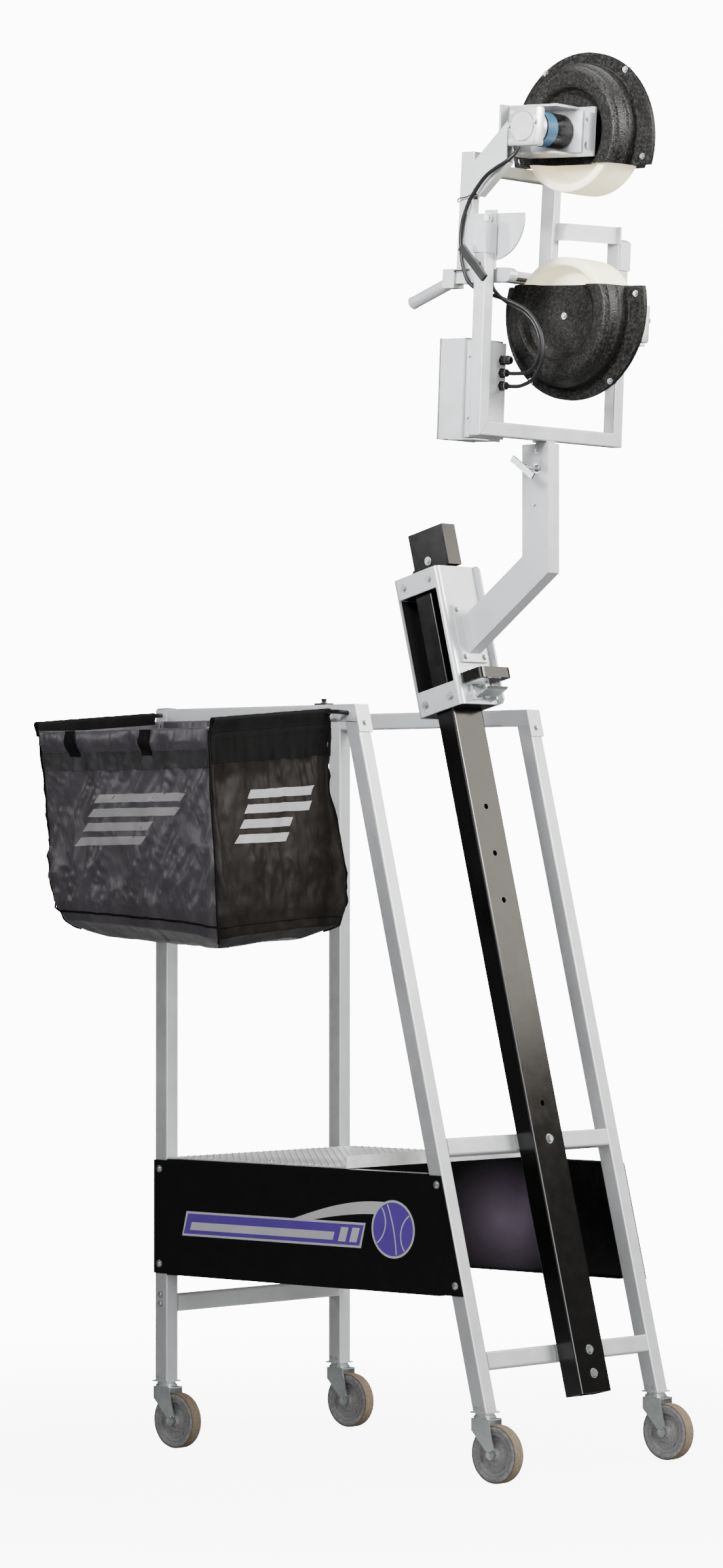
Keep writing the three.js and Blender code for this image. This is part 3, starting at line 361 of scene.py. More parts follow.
def woven(name, colour, roughness=0.62, sheen=0.35, crumple=0.55, specular=0.5):
    """Coated nylon: a fine crossed weave, cloudy creases and a soft sheen."""
    material = new_material(name, colour, roughness, sheen_weight=sheen, sheen_roughness=0.35,
                            specular_ior_level=specular)
    tree = material.node_tree
    cloud = noise_field(tree, 20, 5, 0.55, (1, 1, 0.22), CREASE_LEAN)
    high = [c * 1.7 + 0.002 for c in colour]
    link(material, ramp(tree, cloud, [(0.3, colour), (0.75, high)]),
         ramp(tree, cloud, [(0.25, roughness * 0.75), (0.75, roughness * 1.15)]))
    for direction in ("X", "Z"):
        wave = node(tree, "ShaderNodeTexWave", wave_type="BANDS", bands_direction=direction, Scale=WEAVE)
        tree.links.new(coordinates(tree), wave.inputs["Vector"])
        bump(material, wave.outputs["Fac"], 0.12, 0.0003)
    bump(material, noise_field(tree, 34, 4, 0.55, (1, 1, 0.16), CREASE_LEAN), crumple, 0.006)
    return material


def painted_sheen(name, colour, sheen_colour, roughness, centre, reach):
    """Gloss black with a painted sheen on one face: a soft grey glow of light painted into the base colour,
    which thins out from its centre.
    """
    material = new_material(name, colour, roughness)
    tree = material.node_tree
    sphere = node(tree, "ShaderNodeTexGradient", gradient_type="SPHERICAL")
    tree.links.new(coordinates(tree, [1 / r for r in reach], centre), sphere.inputs["Vector"])
    stops = [(0.0, colour), (0.45, [c * 0.35 for c in sheen_colour]), (1.0, sheen_colour)]
    link(material, ramp(tree, sphere.outputs["Fac"], stops), even_noise(tree, 30, roughness, 0.15))
    bump(material, noise_field(tree, 900, 2), 0.08, 0.0002)
    return material


M = {
    "silver": painted("silver_powder_coat", (0.53, 0.543, 0.56), 0.35, 0.42),
    "black": painted("gloss_black", (0.003, 0.0028, 0.0027), 0.16, 0.0, 0.12),
    "panel": painted("panel_black", (0.002, 0.002, 0.0022), 0.18, 0.0, 0.08),
    # the left panel's inner face wears a painted sheen, a purple-grey glow of light painted into its colour
    "panel_left": painted_sheen("panel_black_painted_sheen", (0.002, 0.002, 0.0022), (0.21, 0.165, 0.235), 0.2,
                          (-0.095, 0.5123, 0.515), (0.19, 0.0022, 0.15)),
    "zinc": brushed("zinc_plate", (0.62, 0.66, 0.66), 0.24, (1, 1, 6), 0.9),
    "cast": brushed("cast_aluminium", (0.80, 0.80, 0.80), 0.38, (1, 1, 1)),
    # the guard's strong flecks are painted highlights, the glints of its pebbled face
    "guard": moulded("textured_black_plastic", (0.003, 0.0029, 0.0027), 0.40, 330, 1.0, 7,
                     specular_ior_level=0.2),
    "plastic": moulded("black_plastic", (0.006, 0.006, 0.0063), 0.36, 900, 0.25),
    # the cream wheels' emission is a painted glow: they give off light though they are no lamp
    "cream": painted("cream_urethane", (0.98, 0.93, 0.68), 0.42, 0.0, 0.05, 0.02,
                     emission_color=(1, 0.9, 0.56, 1), emission_strength=0.7),
    "deck": brushed("tread_plate", (0.86, 0.865, 0.87), 0.32, (1, 1, 1), 0.3),
    "nylon": woven("black_nylon", (0.033, 0.029, 0.0355), 0.38, 0.3, 0.5, 0.6),
    # a darker, duller copy of the same nylon for the bag's front side: painted shade
    "nylon_painted_shade": woven("black_nylon_painted_shade", (0.0052, 0.0041, 0.0034), 0.5, 0.0, 0.4, 0.1),
    "webbing": woven("black_webbing", (0.0032, 0.0032, 0.0032), 0.85, 0.0, 0.2, 0.06),
    # a lighter, glossier copy of the same webbing for the band on the bag's lit outer side: painted light
    "band": woven("webbing_band_painted_light", (0.017, 0.016, 0.018), 0.6, 0.1, 0.2, 0.4),
    "rubber": moulded("grey_tyre", (0.19, 0.192, 0.198), 0.62, 260, 0.2),
    "tread": moulded("tan_tread", (0.105, 0.082, 0.055), 0.85, 260, 0.5),
    "core": moulded("grey_wheel_core", (0.20, 0.20, 0.202), 0.5, 500, 0.12),
    "cable": moulded("cable_jacket", (0.004, 0.004, 0.0045), 0.4, 1200, 0.1, specular_ior_level=0.3),
    "purple": painted("purple_print", (0.10, 0.045, 0.36), 0.35),
    "pale": painted("pale_grey_print", (0.52, 0.52, 0.54), 0.4),
    "label": painted("blank_label", (0.035, 0.10, 0.17), 0.22),
    "print": painted("bag_print", (0.25, 0.242, 0.25), 0.6),
}

# ------------------------------------------------------------ CAD nodes that keep their own shape
CAD_LOOKS = {                            # by the record's slot, or by name where one node differs
    "silver_paint": "silver", "gloss_black_paint": "black", "black_steel": "black", "zinc": "zinc",
    "tread_plate": "deck", "black_plastic": "plastic", "panel_black": "panel",
    # the left side panel takes the black with the painted sheen
    "side_panel_left": "panel_left",
}


def dress_cad_nodes():
    for part in frame["record"]["subparts"]:
        name, slot = part["node"], part["material_slot"]
        look = CAD_LOOKS.get(name, CAD_LOOKS.get(slot))
        if look:
            obj = NODES[name]
            obj.data.materials.clear()
            obj.data.materials.append(M[look])
            shade(obj, 25)


# ------------------------------------------------------------ motor cables
CABLE_RADIUS = 4.5
UPPER_ROUTE = [
    (52, -197, 156.5), (52, -197.4, 148), (46, -203, 136), (32, -209, 123), (4, -212, 108), (-22, -212, 92),
    (-46, -212.5, 66), (-66, -213, 36), (-80, -213, 0), (-84, -213, -34), (-81, -213, -70), (-74, -212, -104),
    (-61, -208, -136), (-42, -198, -153), (-20, -186, -162), (10, -176, -171), (40, -167, -182),
    (72, -160, -199), (98, -156, -225), (113, -153, -257), (116, -151, -290), (107, -148, -322),
    (84, -145, -348), (50, -142, -361), (24, -140.5, -362.5), (6.2, -140, -361.3),
]
LOWER_ROUTE = [
    (52, 197, -156.5), (52, 196.6, -148), (44, 189, -137), (22, 172, -128), (-8, 148, -122), (-40, 122, -119),
    (-57, 98, -118), (-60.5, 70, -118), (-60.5, 30, -118), (-60.5, -20, -118), (-60.5, -70, -118),
    (-59, -110, -119), (-50, -140, -127), (-32, -157, -147), (-4, -162, -168), (28, -157, -187),
    (60, -152, -203), (84, -147, -226), (97, -144, -256), (99, -141, -286), (88, -138, -313),
    (62, -137, -331), (32, -139, -334), (14, -140, -333.8), (5.6, -140, -333.3),
]


def add_cables():
    for name, route in (("upper_motor_cable", UPPER_ROUTE), ("lower_motor_cable", LOWER_ROUTE)):
        path = [HEAD @ p for p in smooth_path(route)]
        bm = bmesh.new()
        tube(bm, path, CABLE_RADIUS * MM, 14)
        obj = piece(name + "_jacket", bm, Matrix.Identity(4), None, "cable", 80,
                    (name,))
        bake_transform(obj)


# ------------------------------------------------------------ cart details
def front_face(z):
    """How far forward the leaning front legs' face is at a height."""
    return LENGTH - (z - FOOT) * math.tan(LEAN)


def polygon_slab(bm, outline, y, thick):
    """Flat shape in the X-Z plane, drawn as (x, z) corners, of a given thickness along Y."""
    front = [bm.verts.new((x, y, z)) for x, z in outline]
    face = bm.faces.new(front)
    made = bmesh.ops.extrude_face_region(bm, geom=[face])
    bmesh.ops.translate(bm, verts=[v for v in made["geom"] if isinstance(v, bmesh.types.BMVert)],
                        vec=(0, thick, 0))


BALL = (741, 535)                        # middle of the printed ball, from the frame's rear corner
BALL_RADIUS, BALL_EDGE = 59, 64


def disc_outline(x, z, radius, sides=64):
    return [(x + u, z + v) for u, v in round_points(radius, sides)]


def seam_outline(cx, cz, radius, width=3.2, steps=24):
    """Curved strip of a circle round (cx, cz), as far as it lies inside the ball's disc."""
    x, z, disc = *BALL, BALL_RADIUS - 2
    away, towards = math.hypot(x - cx, z - cz), math.atan2(z - cz, x - cx)
    outline = []
    for r, way in ((radius, 1), (radius + width, -1)):
        half = math.acos((r * r + away * away - disc * disc) / (2 * r * away))
        outline += [(cx + r * math.cos(towards + a), cz + r * math.sin(towards + a))
                    for a in (way * half * (2 * i / steps - 1) for i in range(steps + 1))]
    return outline


def swoosh_outline(steps=24):
    """Crescent that starts thin over the bar and widens into the disc."""
    upper = [(430 + 300 * t, 542 + 52 * math.sin(t * 1.75)) for t in (i / steps for i in range(steps + 1))]
    lower = [(470 + 235 * t, 540 + 26 * math.sin(t * 1.6)) for t in (i / steps for i in range(steps + 1))]
    return upper + lower[::-1]


def add_panel_prints():
    """A plain two-colour stripe, a crescent and a disc on each side panel."""
    bar = [(96, 494), (640, 494), (654, 540), (110, 540)]
    core = [(116, 503), (560, 503), (566, 521), (122, 521)]
    dash = [[(x, 501), (x + 22, 501), (x + 32, 533), (x + 10, 533)] for x in (576, 610)]
    shapes = [("crescent", swoosh_outline(), "pale", 0.0), ("bar_edge", grown(bar, 5), "pale", 0.12),
              ("bar", bar, "purple", 0.24), ("core", core, "pale", 0.36),
              ("disc_edge", disc_outline(*BALL, BALL_EDGE), "pale", 0.12),
              ("disc", disc_outline(*BALL, BALL_RADIUS), "purple", 0.24)]
    shapes += [(f"dash_{i}", d, "pale", 0.36) for i, d in enumerate(dash)]
    for i, (x, z, radius) in enumerate(((-76, 14, 52), (-300, -70, 308), (76, -14, 52))):
        shapes.append((f"seam_{i}", seam_outline(BALL[0] + x, BALL[1] + z, radius), "pale", 0.36))
    for side, y, way in (("right", -PANEL_FACE, -1), ("left", WIDTH + PANEL_FACE, 1)):
        for name, outline, colour, height in shapes:
            bm = bmesh.new()
            polygon_slab(bm, outline, y + way * height, way * 0.12)
            piece(f"panel_print_{side}_{name}", bm, CART, "cart", colour)


def grown(outline, by):
    """A four-cornered outline moved outwards on every side."""
    cx, cz = (sum(values) / len(outline) for values in zip(*outline))
    return [(x + math.copysign(by, x - cx), z + math.copysign(by, z - cz)) for x, z in outline]


def add_cart_bolts():
    bm = bmesh.new()
    for y, way in ((-PANEL_FACE, -1), (WIDTH + PANEL_FACE, 1)):
        for z in (638, 421):
            for x in (17, front_face(z) - 19):
                bolt(bm, (x, y, z), (0, way, 0), 6)
    for y in (TUBE / 2, WIDTH - TUBE / 2):
        hex_bolt(bm, (front_face(1650) + 3.5, y, 1650), (COS, 0, SIN), 6, 4)
        way = -1 if y < MID else 1
        for z in (350, 329):
            bolt(bm, (TUBE / 2, y + 20 * way, z), (0, way, 0), 5, 3)
    for x, y in ((560, 60), (560, WIDTH - 60), (120, 60), (120, WIDTH - 60), (560, MID), (340, 30)):
        bolt(bm, (x, y, DECK_TOP), (0, 0, 1), 5, 3)
    piece("cart_bolts", bm, CART, "cart", "zinc")


def add_deck_ribs():
    """Raised ribs that run slantwise over the tread plate, each a low rounded ridge."""
    bm = bmesh.new()
    low, high = Vector((TUBE + 9, 4)), Vector((DECK_FRONT - 6, WIDTH - 4))
    pitch, half, height = 21, 3.6, 1.5
    x = low.x - (high.y - low.y)
    while x < high.x + (high.y - low.y):
        # the ridge y - low.y = base - x runs back and to the left
        start = max(low.x, x - (high.y - low.y))
        end = min(high.x, x)
        if end - start > 12:
            a, b = Vector((end, low.y + x - end)), Vector((start, low.y + x - start))
            side = Vector((1, 1)).normalized() * half
            profile = [(-1, 0), (-0.6, 0.7), (0, 1), (0.6, 0.7), (1, 0)]
            ends = [[bm.verts.new((*(p + side * s), DECK_TOP - 0.2 + (height + 0.2) * h)) for s, h in profile]
                    for p in (a, b)]
            skin(bm, *ends)
            bm.faces.new(ends[0][::-1])
            bm.faces.new(ends[1])
        x += pitch
    piece("deck_ribs", bm, CART, "cart", "deck", 50)


def add_leg_feet():
    """Black plugs in the rails' rear ends, rivets over each foot plate, and the right rail's strap knob."""
    bm = bmesh.new()
    for y in (TUBE / 2, WIDTH - TUBE / 2):
        slab(bm, (3, y - 16, FRAME_TOP - 0.5), (35, y + 16, FRAME_TOP + 2.5), 2)
    piece("leg_plugs", bm, CART, "cart", "plastic")
    bm = bmesh.new()
    for y in (TUBE / 2, WIDTH - TUBE / 2):
        for x in (TUBE / 2, FRONT_FOOT_X):
            for dx in (-9, 9):
                bolt(bm, (x + dx, y - 20, FOOT + 9), (0, -1, 0), 2.2, 1.5)
    piece("foot_rivets", bm, CART, "cart", "zinc")
    bm = bmesh.new()
    for r0, z0, r1, z1 in ((9, 0, 8, 6), (5, 6, 7, 14)):
        rod(bm, (513, TUBE / 2, FRAME_TOP + z0), (513, TUBE / 2, FRAME_TOP + z1), r0, 20, tip=r1, bevel=0.8)
    slab(bm, (494, 6, FRAME_TOP), (531, 32, FRAME_TOP + 4), 1.5)
    piece("strap_knob", bm, CART, "cart", "plastic")


CASTER_PROFILES = {                      # (radius, y) round the axle
    "tyre": rounded([(46, -13), (56, -16), (WHEEL_RADIUS - 1.6, -13.5), (WHEEL_RADIUS - 1.4, 0),
                     (WHEEL_RADIUS - 1.6, 13.5), (56, 16), (46, 13)], 3),
    "tread": rounded([(59, -14.6), (WHEEL_RADIUS - 1.0, -14), (WHEEL_RADIUS, -10.5), (WHEEL_RADIUS, 10.5),
                      (WHEEL_RADIUS - 1.0, 14), (59, 14.6)], 1.5),
    # dished, with a stepped web, a rim and a raised hub
    "wheel_core": rounded([(5.2, -17), (12, -17.3), (14, -11), (20, -9), (24, -9), (27, -6), (38, -6),
                           (41, -12), (47, -14), (47, 14), (41, 12), (38, 6), (27, 6), (24, 9), (20, 9),
                           (14, 11), (12, 17.3), (5.2, 17)], 1.2),
}


def add_caster(key, x, y):
    centre = Vector((x + TRAIL, y, WHEEL_RADIUS))
    wheel = "caster_wheel_" + key
    for part, look in (("tyre", "rubber"), ("tread", "tread")):
        bm = bmesh.new()
        lathe(bm, CASTER_PROFILES[part], 80, centre)
        piece(f"{part}_{key}", bm, CART, wheel, look)
    bm = bmesh.new()
    lathe(bm, CASTER_PROFILES["wheel_core"], 80, centre)
    for u, v in round_points(33, 5, 0.3):
        for way in (-1, 1):
            at = centre + Vector((u, way * 6, v))
            rod(bm, at, at + Vector((0, way * 1.6, 0)), 4, 16)
    piece("wheel_core_" + key, bm, CART, wheel, "core", stands_for=(wheel,))
    bm = bmesh.new()
    for way in (-1, 1):
        out = centre + Vector((0, way * 25, 0))
        hex_bolt(bm, out, (0, way, 0), 7.5, 6)
        rod(bm, out, out + Vector((0, way * 9.5, 0)), 3.6, 16)
    rod(bm, (x, y, 140), (x, y, 144.5), 25, 48, bevel=1.2)
    piece("axle_nuts_" + key, bm, CART, "caster_fork_" + key, "zinc")


def add_casters():
    for end, x in (("rear", TUBE / 2), ("front", FRONT_FOOT_X)):
        for side, y in (("right", TUBE / 2), ("left", WIDTH - TUBE / 2)):
            add_caster(f"{end}_{side}", x, y)


# ------------------------------------------------------------ mast and carriage details
def add_mast_bolts():
    bm = bmesh.new()
    for z in (728, 269, 218):
        up = (z - FOOT - MAST_OUT * SIN) / COS - 25.4 * SIN / COS
        hex_bolt(bm, (25.4, 0, up), (1, 0, 0), 8, 5.5)
    piece("mast_bolts", bm, MAST, "cart", "zinc")
    bm = bmesh.new()
    for way in (-1, 1):
        hex_bolt(bm, (10, way * 22, 1916), (0, way, 0), 7, 4)
    piece("housing_screws", bm, MAST, "cart", "zinc")
    bm = bmesh.new()
    hook = [(-30, -12, 1893), (-44, -13, 1888), (-50, -14, 1896), (-44, -14, 1905), (-36, -12, 1903)]
    tube(bm, smooth_path(hook), 2.6, 10)
    slab(bm, (-44, -19, 1897), (-34, -6, 1908), 2)
    eye = [(-34, -16, 1896), (-40, -22, 1890), (-48, -20, 1884), (-42, -14, 1882), (-32, -12, 1890)]
    tube(bm, smooth_path(eye), 2.2, 10)
    piece("housing_clips", bm, MAST, "cart", "plastic")


def add_carriage_details():
    bm = bmesh.new()
    for way in (-1, 1):
        for z in (1864, 1590):
            for x in (-38.5, 38.5):
                hex_bolt(bm, (x, way * SLEEVE_SIDE, z), (0, way, 0), 7, 4.5)
    for y in (-32, 32):
        for z in (-55, 55):
            hex_bolt(bm, (76.3, y, FLANGE_LEVEL + z), (1, 0, 0), 6.5, 4.5)
    for way in (-1, 1):
        hex_bolt(bm, (92, way * 45, 1636), (0, 0, 1), 5, 4)
        rod(bm, (76, way * 30, 1582), (76, way * 42, 1582), 3.2, 16, bevel=0.5)
    piece("carriage_bolts", bm, MAST, "carriage", "zinc")
    bm = bmesh.new()
    turns, steps = 6, 14
    tube(bm, [(69 + 13 * i / (turns * steps), 7.6 * math.cos(2 * math.pi * i / steps),
               1604 + 7.6 * math.sin(2 * math.pi * i / steps)) for i in range(turns * steps + 1)], 0.9, 8)
    piece("lock_pin_spring", bm, MAST, "carriage", "zinc")
    # thin black sheets on the sleeve's inner front and rear walls: slide pads, and painted shade that darkens
    # the inside seen through the window
    bm = bmesh.new()
    for x in (-61.6, 60.4):
        slab(bm, (x, -59, 1617), (x + 1.2, 59, 1840), 0.3)
    piece("sleeve_lining_and_shade", bm, MAST, "carriage", "plastic")
    bm = bmesh.new()
    for x, z in ((904, 2256), (897, 2135)):
        bolt(bm, (x, MID - 19.05, z), (0, -1, 0), 4.5, 2.5)
    bolt(bm, (906, MID - 19.05, 2215), (0, -1, 0), 8, 3)
    piece("neck_screws", bm, CART, "carriage", "zinc")


# ------------------------------------------------------------ yoke and control box details
def add_yoke_details():
    bm = bmesh.new()
    for y in (-236, -133):
        for z in (14, 202):
            bolt(bm, (-19.2, y, z), (1, 0, 0), 3.4, 2)
    for z in (44, 178):
        for y, way in ((-241.8, -1), (-127.2, 1)):
            bolt(bm, (-12, y, z), (0, way, 0), 4, 2.4)
    hex_bolt(bm, (11, -221.9, PIVOT), (0, -1, 0), 8.5, 3)
    piece("box_screws", bm, YOKE, "yoke", "zinc")
    bm = bmesh.new()
    for x in (-92.9, -22.6):
        slab(bm, (x, -246.5, -2.6), (x + 1.1, -122.5, 218.6), 0.2)
    piece("box_gaskets", bm, YOKE, "yoke", "plastic")
    bm = bmesh.new()
    for low, high in ((BOX_BACK - 2.6, BOX_BACK), (-21.5, -19)):
        slab(bm, (low, -247.2, -3.2), (high, -121.8, BOX_TOP), 0.8)
    slab(bm, (-60, -248, -5.2), (16, -200, -2.2), 0.8)
    piece("box_lips", bm, YOKE, "yoke", "silver")
    bm = bmesh.new()
    for z in (120, 148, 176):
        rod(bm, (-5.3, -140, z), (-1.5, -140, z), 12, 6, bevel=0.8)
        rod(bm, (-1.5, -140, z), (11.5, -140, z), 10.4, 28, tip=8.4, bevel=0.8)
    lathe_x(bm, [(5, 0), (11, 0), (9, 9), (5, 10)], (11, -140, 176))
    slab(bm, (-97, -197, 48), (-93.1, -171, 84), 1.2)
    slab(bm, (-98.4, -232, 36), (-93.1, -204, 72), 1.5)
    rod(bm, (-98.4, -218, 54), (-101, -218, 54), 9, 24, bevel=0.6)
    piece("box_fittings", bm, YOKE, "yoke", "plastic")
    for name, y in (("upper", -208), ("lower", -161)):
        bm = bmesh.new()
        for u, v in round_points(16.2, 24):
            at = Vector((BOX_BACK - 5.6, y + u, DIAL_LEVEL + v))
            rod(bm, at, at + Vector((-9, 0, 0)), 1.5, 8, bevel=0.3)
        piece(f"knob_ribs_{name}", bm, YOKE, name + "_knob", "plastic")
        bm = bmesh.new()
        for i in range(11):
            a = math.radians(-240 + 30 * i)
            at = Vector((BOX_BACK - 0.15, y + 25 * math.cos(a), DIAL_LEVEL + 25 * math.sin(a)))
            rod(bm, at, at + Vector((-0.4, 0, 0)), 1.3, 12)
        slab(bm, (-110.2, y - 1, 128), (-109.6, y + 1, 138), 0.2)
        piece(f"dial_marks_{name}", bm, YOKE, "yoke", "pale")


def lathe_x(bm, profile, at):
    """Turns a closed (radius, x) profile about the X axis through at."""
    fresh = list({v for face in lathe(bm, profile, 32) for v in face.verts})
    bmesh.ops.rotate(bm, verts=fresh, cent=(0, 0, 0), matrix=Matrix.Rotation(-math.pi / 2, 3, "Z"))
    bmesh.ops.translate(bm, verts=fresh, vec=at)


# ------------------------------------------------------------ head details
def throwing_profile():
    h, r = DRUM_HALF, DRUM_RADIUS
    half = [(20.4, 18), (31, 18), (36, 9), (98, 9), (108, 40), (111, h), (r - 1, h - 1), (r, 30)]
    return rounded([(x, -y) for x, y in half] + half[::-1], 5, 4)


def guard_profile(side):
    """Moulded half guard: recessed centre, rounded face, flared side wall and flange lip."""
    c, h, floor, thick = CUP, -GUARD_HALF, -38, 4
    outer = [(0.5, floor), (82, floor), (96, -46), (101, h + 5), (108, h), (c - 13, h), (c - 2, h + 8),
             (c + 1, h + 22), (c + 4, -36), (c + 7, -32), (c + 8, -8), (c + 16, -0.6)]
    inner = [(c + 6, -0.6), (c + 3, -8), (c + 2, -30), (c - 3, h + 24), (c - 6, h + 12), (c - 15, h + thick),
             (110, h + thick), (104, h + 9), (99, -42), (84, floor + thick), (0.5, floor + thick)]
    return [(r, -side * y) for r, y in rounded(outer + inner, 3, 3)]


def guard(side, way):
    """Half guard shell about the origin: side -1 is right, way 1 opens downwards."""
    bm = bmesh.new()
    lathe(bm, guard_profile(side), 120)
    flange_ring(bm, side, way)
    cut = bmesh.ops.bisect_plane(bm, geom=[*bm.verts, *bm.edges, *bm.faces], plane_co=(0, 0, -way * MOUTH),
                                 plane_no=(0, 0, -way), clear_outer=True)
    rim = [e for e in cut["geom_cut"] if isinstance(e, bmesh.types.BMEdge)]
    bmesh.ops.contextual_create(bm, geom=rim)
    return bm


def flange_ring(bm, side, way, sides=120):
    """Flat flange, its outer circle set off towards the ball."""
    loops = []
    for y in (side * 0.4, side * 6):
        for radius, z in ((CUP + 8, 0), (FLANGE_RADIUS, -way * GUARD_SHIFT)):
            loops.append([bm.verts.new((u, y, z + v)) for u, v in round_points(radius, sides)])
    inner_a, outer_a, inner_b, outer_b = loops
    for first, second in ((inner_a, outer_a), (outer_a, outer_b), (outer_b, inner_b), (inner_b, inner_a)):
        skin(bm, first, second)


def add_guards_and_wheels():
    for level, way in (("upper", 1), ("lower", -1)):
        at = Matrix.Translation((AXLE_X, 0, way * AXLE_Z))
        for label, side in (("right", -1), ("left", 1)):
            name = f"{level}_guard_{label}"
            piece(name + "_shell", guard(side, way), HEAD @ at, "head", "guard", 40,
                  (name,))
        bm = bmesh.new()
        lathe(bm, throwing_profile(), 128)
        piece(f"{level}_wheel_moulding", bm, HEAD @ at, f"{level}_wheel", "cream",
              stands_for=(f"{level}_throwing_wheel",))
        bm = bmesh.new()
        for angle in (-16, 51, 129, 196):
            a = math.radians(angle)
            x, z = BOLT_CIRCLE * math.cos(a), way * (BOLT_CIRCLE * math.sin(a))
            for side in (-1, 1):
                hex_bolt(bm, (x, side * 6, z), (0, side, 0), 5, 4.5)
        piece(f"{level}_guard_bolts", bm, HEAD @ at, "head", "zinc")
        bm = bmesh.new()
        open_side = 1 if way > 0 else -1
        bolt(bm, (0, open_side * 38, 0), (0, open_side, 0), 5, 3)
        piece(f"{level}_centre_screw", bm, HEAD @ at, "head", "zinc")


def add_motors():
    for level, way in (("upper", -1), ("lower", 1)):
        at = HEAD @ Matrix.Translation((AXLE_X, 0, -way * AXLE_Z))
        bm = bmesh.new()
        low, high = sorted((way * MOTOR_FACE, way * 184))
        slab(bm, (-43, low, -43), (43, high, 43), 7)
        rod(bm, (0, way * 208.5, 0), (0, way * 210.5, 0), 33, 64, bevel=1)
        rod(bm, (0, way * 186, 0), (0, way * 170, 0), 38, 64)
        for x, z in ((-31, -31), (-31, 31), (31, -31), (31, 31)):
            rod(bm, (x, way * 208.5, z), (x, way * 210.8, z), 5.5, 20, bevel=0.6)
        piece(f"{level}_motor_end", bm, at, "head", "cast", stands_for=(f"{level}_motor",))
        bm = bmesh.new()
        rod(bm, (0, way * 171, 0), (0, way * 84, 0), 38.6, 72, bevel=1)
        rod(bm, (0, way * 84, 0), (0, way * 73, 0), 33, 64)
        piece(f"{level}_motor_can", bm, at, "head", "black")
        bm = bmesh.new()
        rod(bm, (0, way * 166, 0), (0, way * 134, 0), 38.9, 72)
        piece(f"{level}_motor_label", bm, at, "head", "label")
        bm = bmesh.new()
        for x, z in ((-38, 0), (36, 8)):
            bolt(bm, (x, way * MOTOR_FACE, z), (0, way, 0), 5, 3)
        front = 150 - AXLE_X if way < 0 else 184 - AXLE_X
        for z in (-30, 30):
            hex_bolt(bm, (front, way * PAD_FACE, z), (0, way, 0), 7, 5)
        for x in (-30, 30):
            for z in (-42, 42):
                bolt(bm, (x, way * PAD_FACE, z), (0, way, 0), 4, 2.5)
        piece(f"{level}_motor_screws", bm, at, "head", "zinc")
        bm = bmesh.new()
        low, high = sorted((way * (PAD_FACE + 0.1), way * 80))
        slab(bm, (-50, low, -46), (front - 14, high, 46), 2)
        piece(f"{level}_motor_pad", bm, at, "head", "cast")
        bm = bmesh.new()
        z = -43 if way < 0 else 43
        rod(bm, (-24, way * 197, z * 0.98), (-24, way * 197, z * 1.13), 8, 6, bevel=0.8)
        rod(bm, (-24, way * 197, z * 1.1), (-24, way * 197, z * 1.2), 6.6, 24, tip=5.4)
        piece(f"{level}_motor_gland", bm, at, "head", "plastic")


def add_head_details():
    bm = bmesh.new()
    cx, cy = -86, -188.5
    for cz, drop in ((48, 8), (-112, 2)):
        ring = []
        for i in range(40):
            a = 2 * math.pi * i / 40
            power = lambda v: math.copysign(abs(v) ** 0.35, v)
            bulge = 7 if math.sin(a) < 0 else 0
            ring.append((cx + 20.6 * power(math.cos(a)), cy + (14 + bulge) * power(math.sin(a)),
                         cz + drop * math.cos(a)))
        tube(bm, [*ring, ring[0]], 1.5, 8)
        slab(bm, (cx + 18, cy - 8, cz - 3), (cx + 26, cy - 2, cz + 4), 1)
    piece("cable_ties", bm, HEAD, "head", "plastic")
    bm = bmesh.new()
    for y, way in ((206.9, -1), (-201.3, 1)):
        hex_bolt(bm, (0, y, 0), (0, way, 0), 8, 6)
    piece("pivot_nuts", bm, HEAD, "head", "zinc")
    bm = bmesh.new()
    rod(bm, (0, 0, 0), (0, 0, -11), 14.6, 40, bevel=2.5)
    bar = Matrix.Translation((-115.4, cy, -131)) @ Matrix.Rotation(-math.radians(112), 4, "Y")
    bm.transform(bar @ Matrix.Translation((0, 0, 137)))
    piece("handle_end_cap", bm, HEAD, "head", "silver")


# ------------------------------------------------------------ ball bag
BAG_LEVELS = [                           # height, x0, x1, y0, y1, corner radius
    (1664, 26, 566, -402, -9, 12), (1640, 28, 566, -403, -9, 14), (1500, 36, 578, -408, 16, 34),
    (1350, 44, 592, -409.47, 46, 26), (1250, 46, 594, -406, 50, 28), (1205, 66, 588, -394, 42, 46),
    (1184, 150, 540, -345, -20, 75),
]
BAG_SAG = 0.075                          # the rim drops outwards with the carrying rods
RIM = 1664
ROD_TOP = 1677
ARC = 0.06                               # share of a side taken by each half corner
CELL = 7.5                               # spacing of the cloth's rows
CLOTH_CAP = 0.016                        # furthest that the simulation may move a point, in metres
CLOTH = {"quality": 6, "mass": 0.12, "tension_stiffness": 20, "compression_stiffness": 12,
         "shear_stiffness": 6, "bending_stiffness": 0.25, "shrink_min": -0.035, "vertex_group_mass": "held",
         "pin_stiffness": 1, "use_pressure": True, "uniform_pressure_force": 0.6}
CREASES = ((0.024, 2.6, 10.0), (0.05, 2.0, 4.5))     # how close, how sharp and how high, coarse then fine
WEBBING, HEM, HEM_CORD = (50, 92), (8, 84), (24, 30)  # top and bottom of each band below the rim
LOOP_PLACES, LOOP_HALF = (0.23, 0.63), 0.028         # shares of the outer side
FLOOR_SEAM = 438                                     # depth of the seam round the floor
PRINT_BARS = ((0.30, 0.80), (0.26, 0.76), (0.22, 0.60), (0.18, 0.56))
FRONT, BACK_SIDE, REAR, OUTER = range(4)
WHOLE_SIDE = (0.02, 0.98)


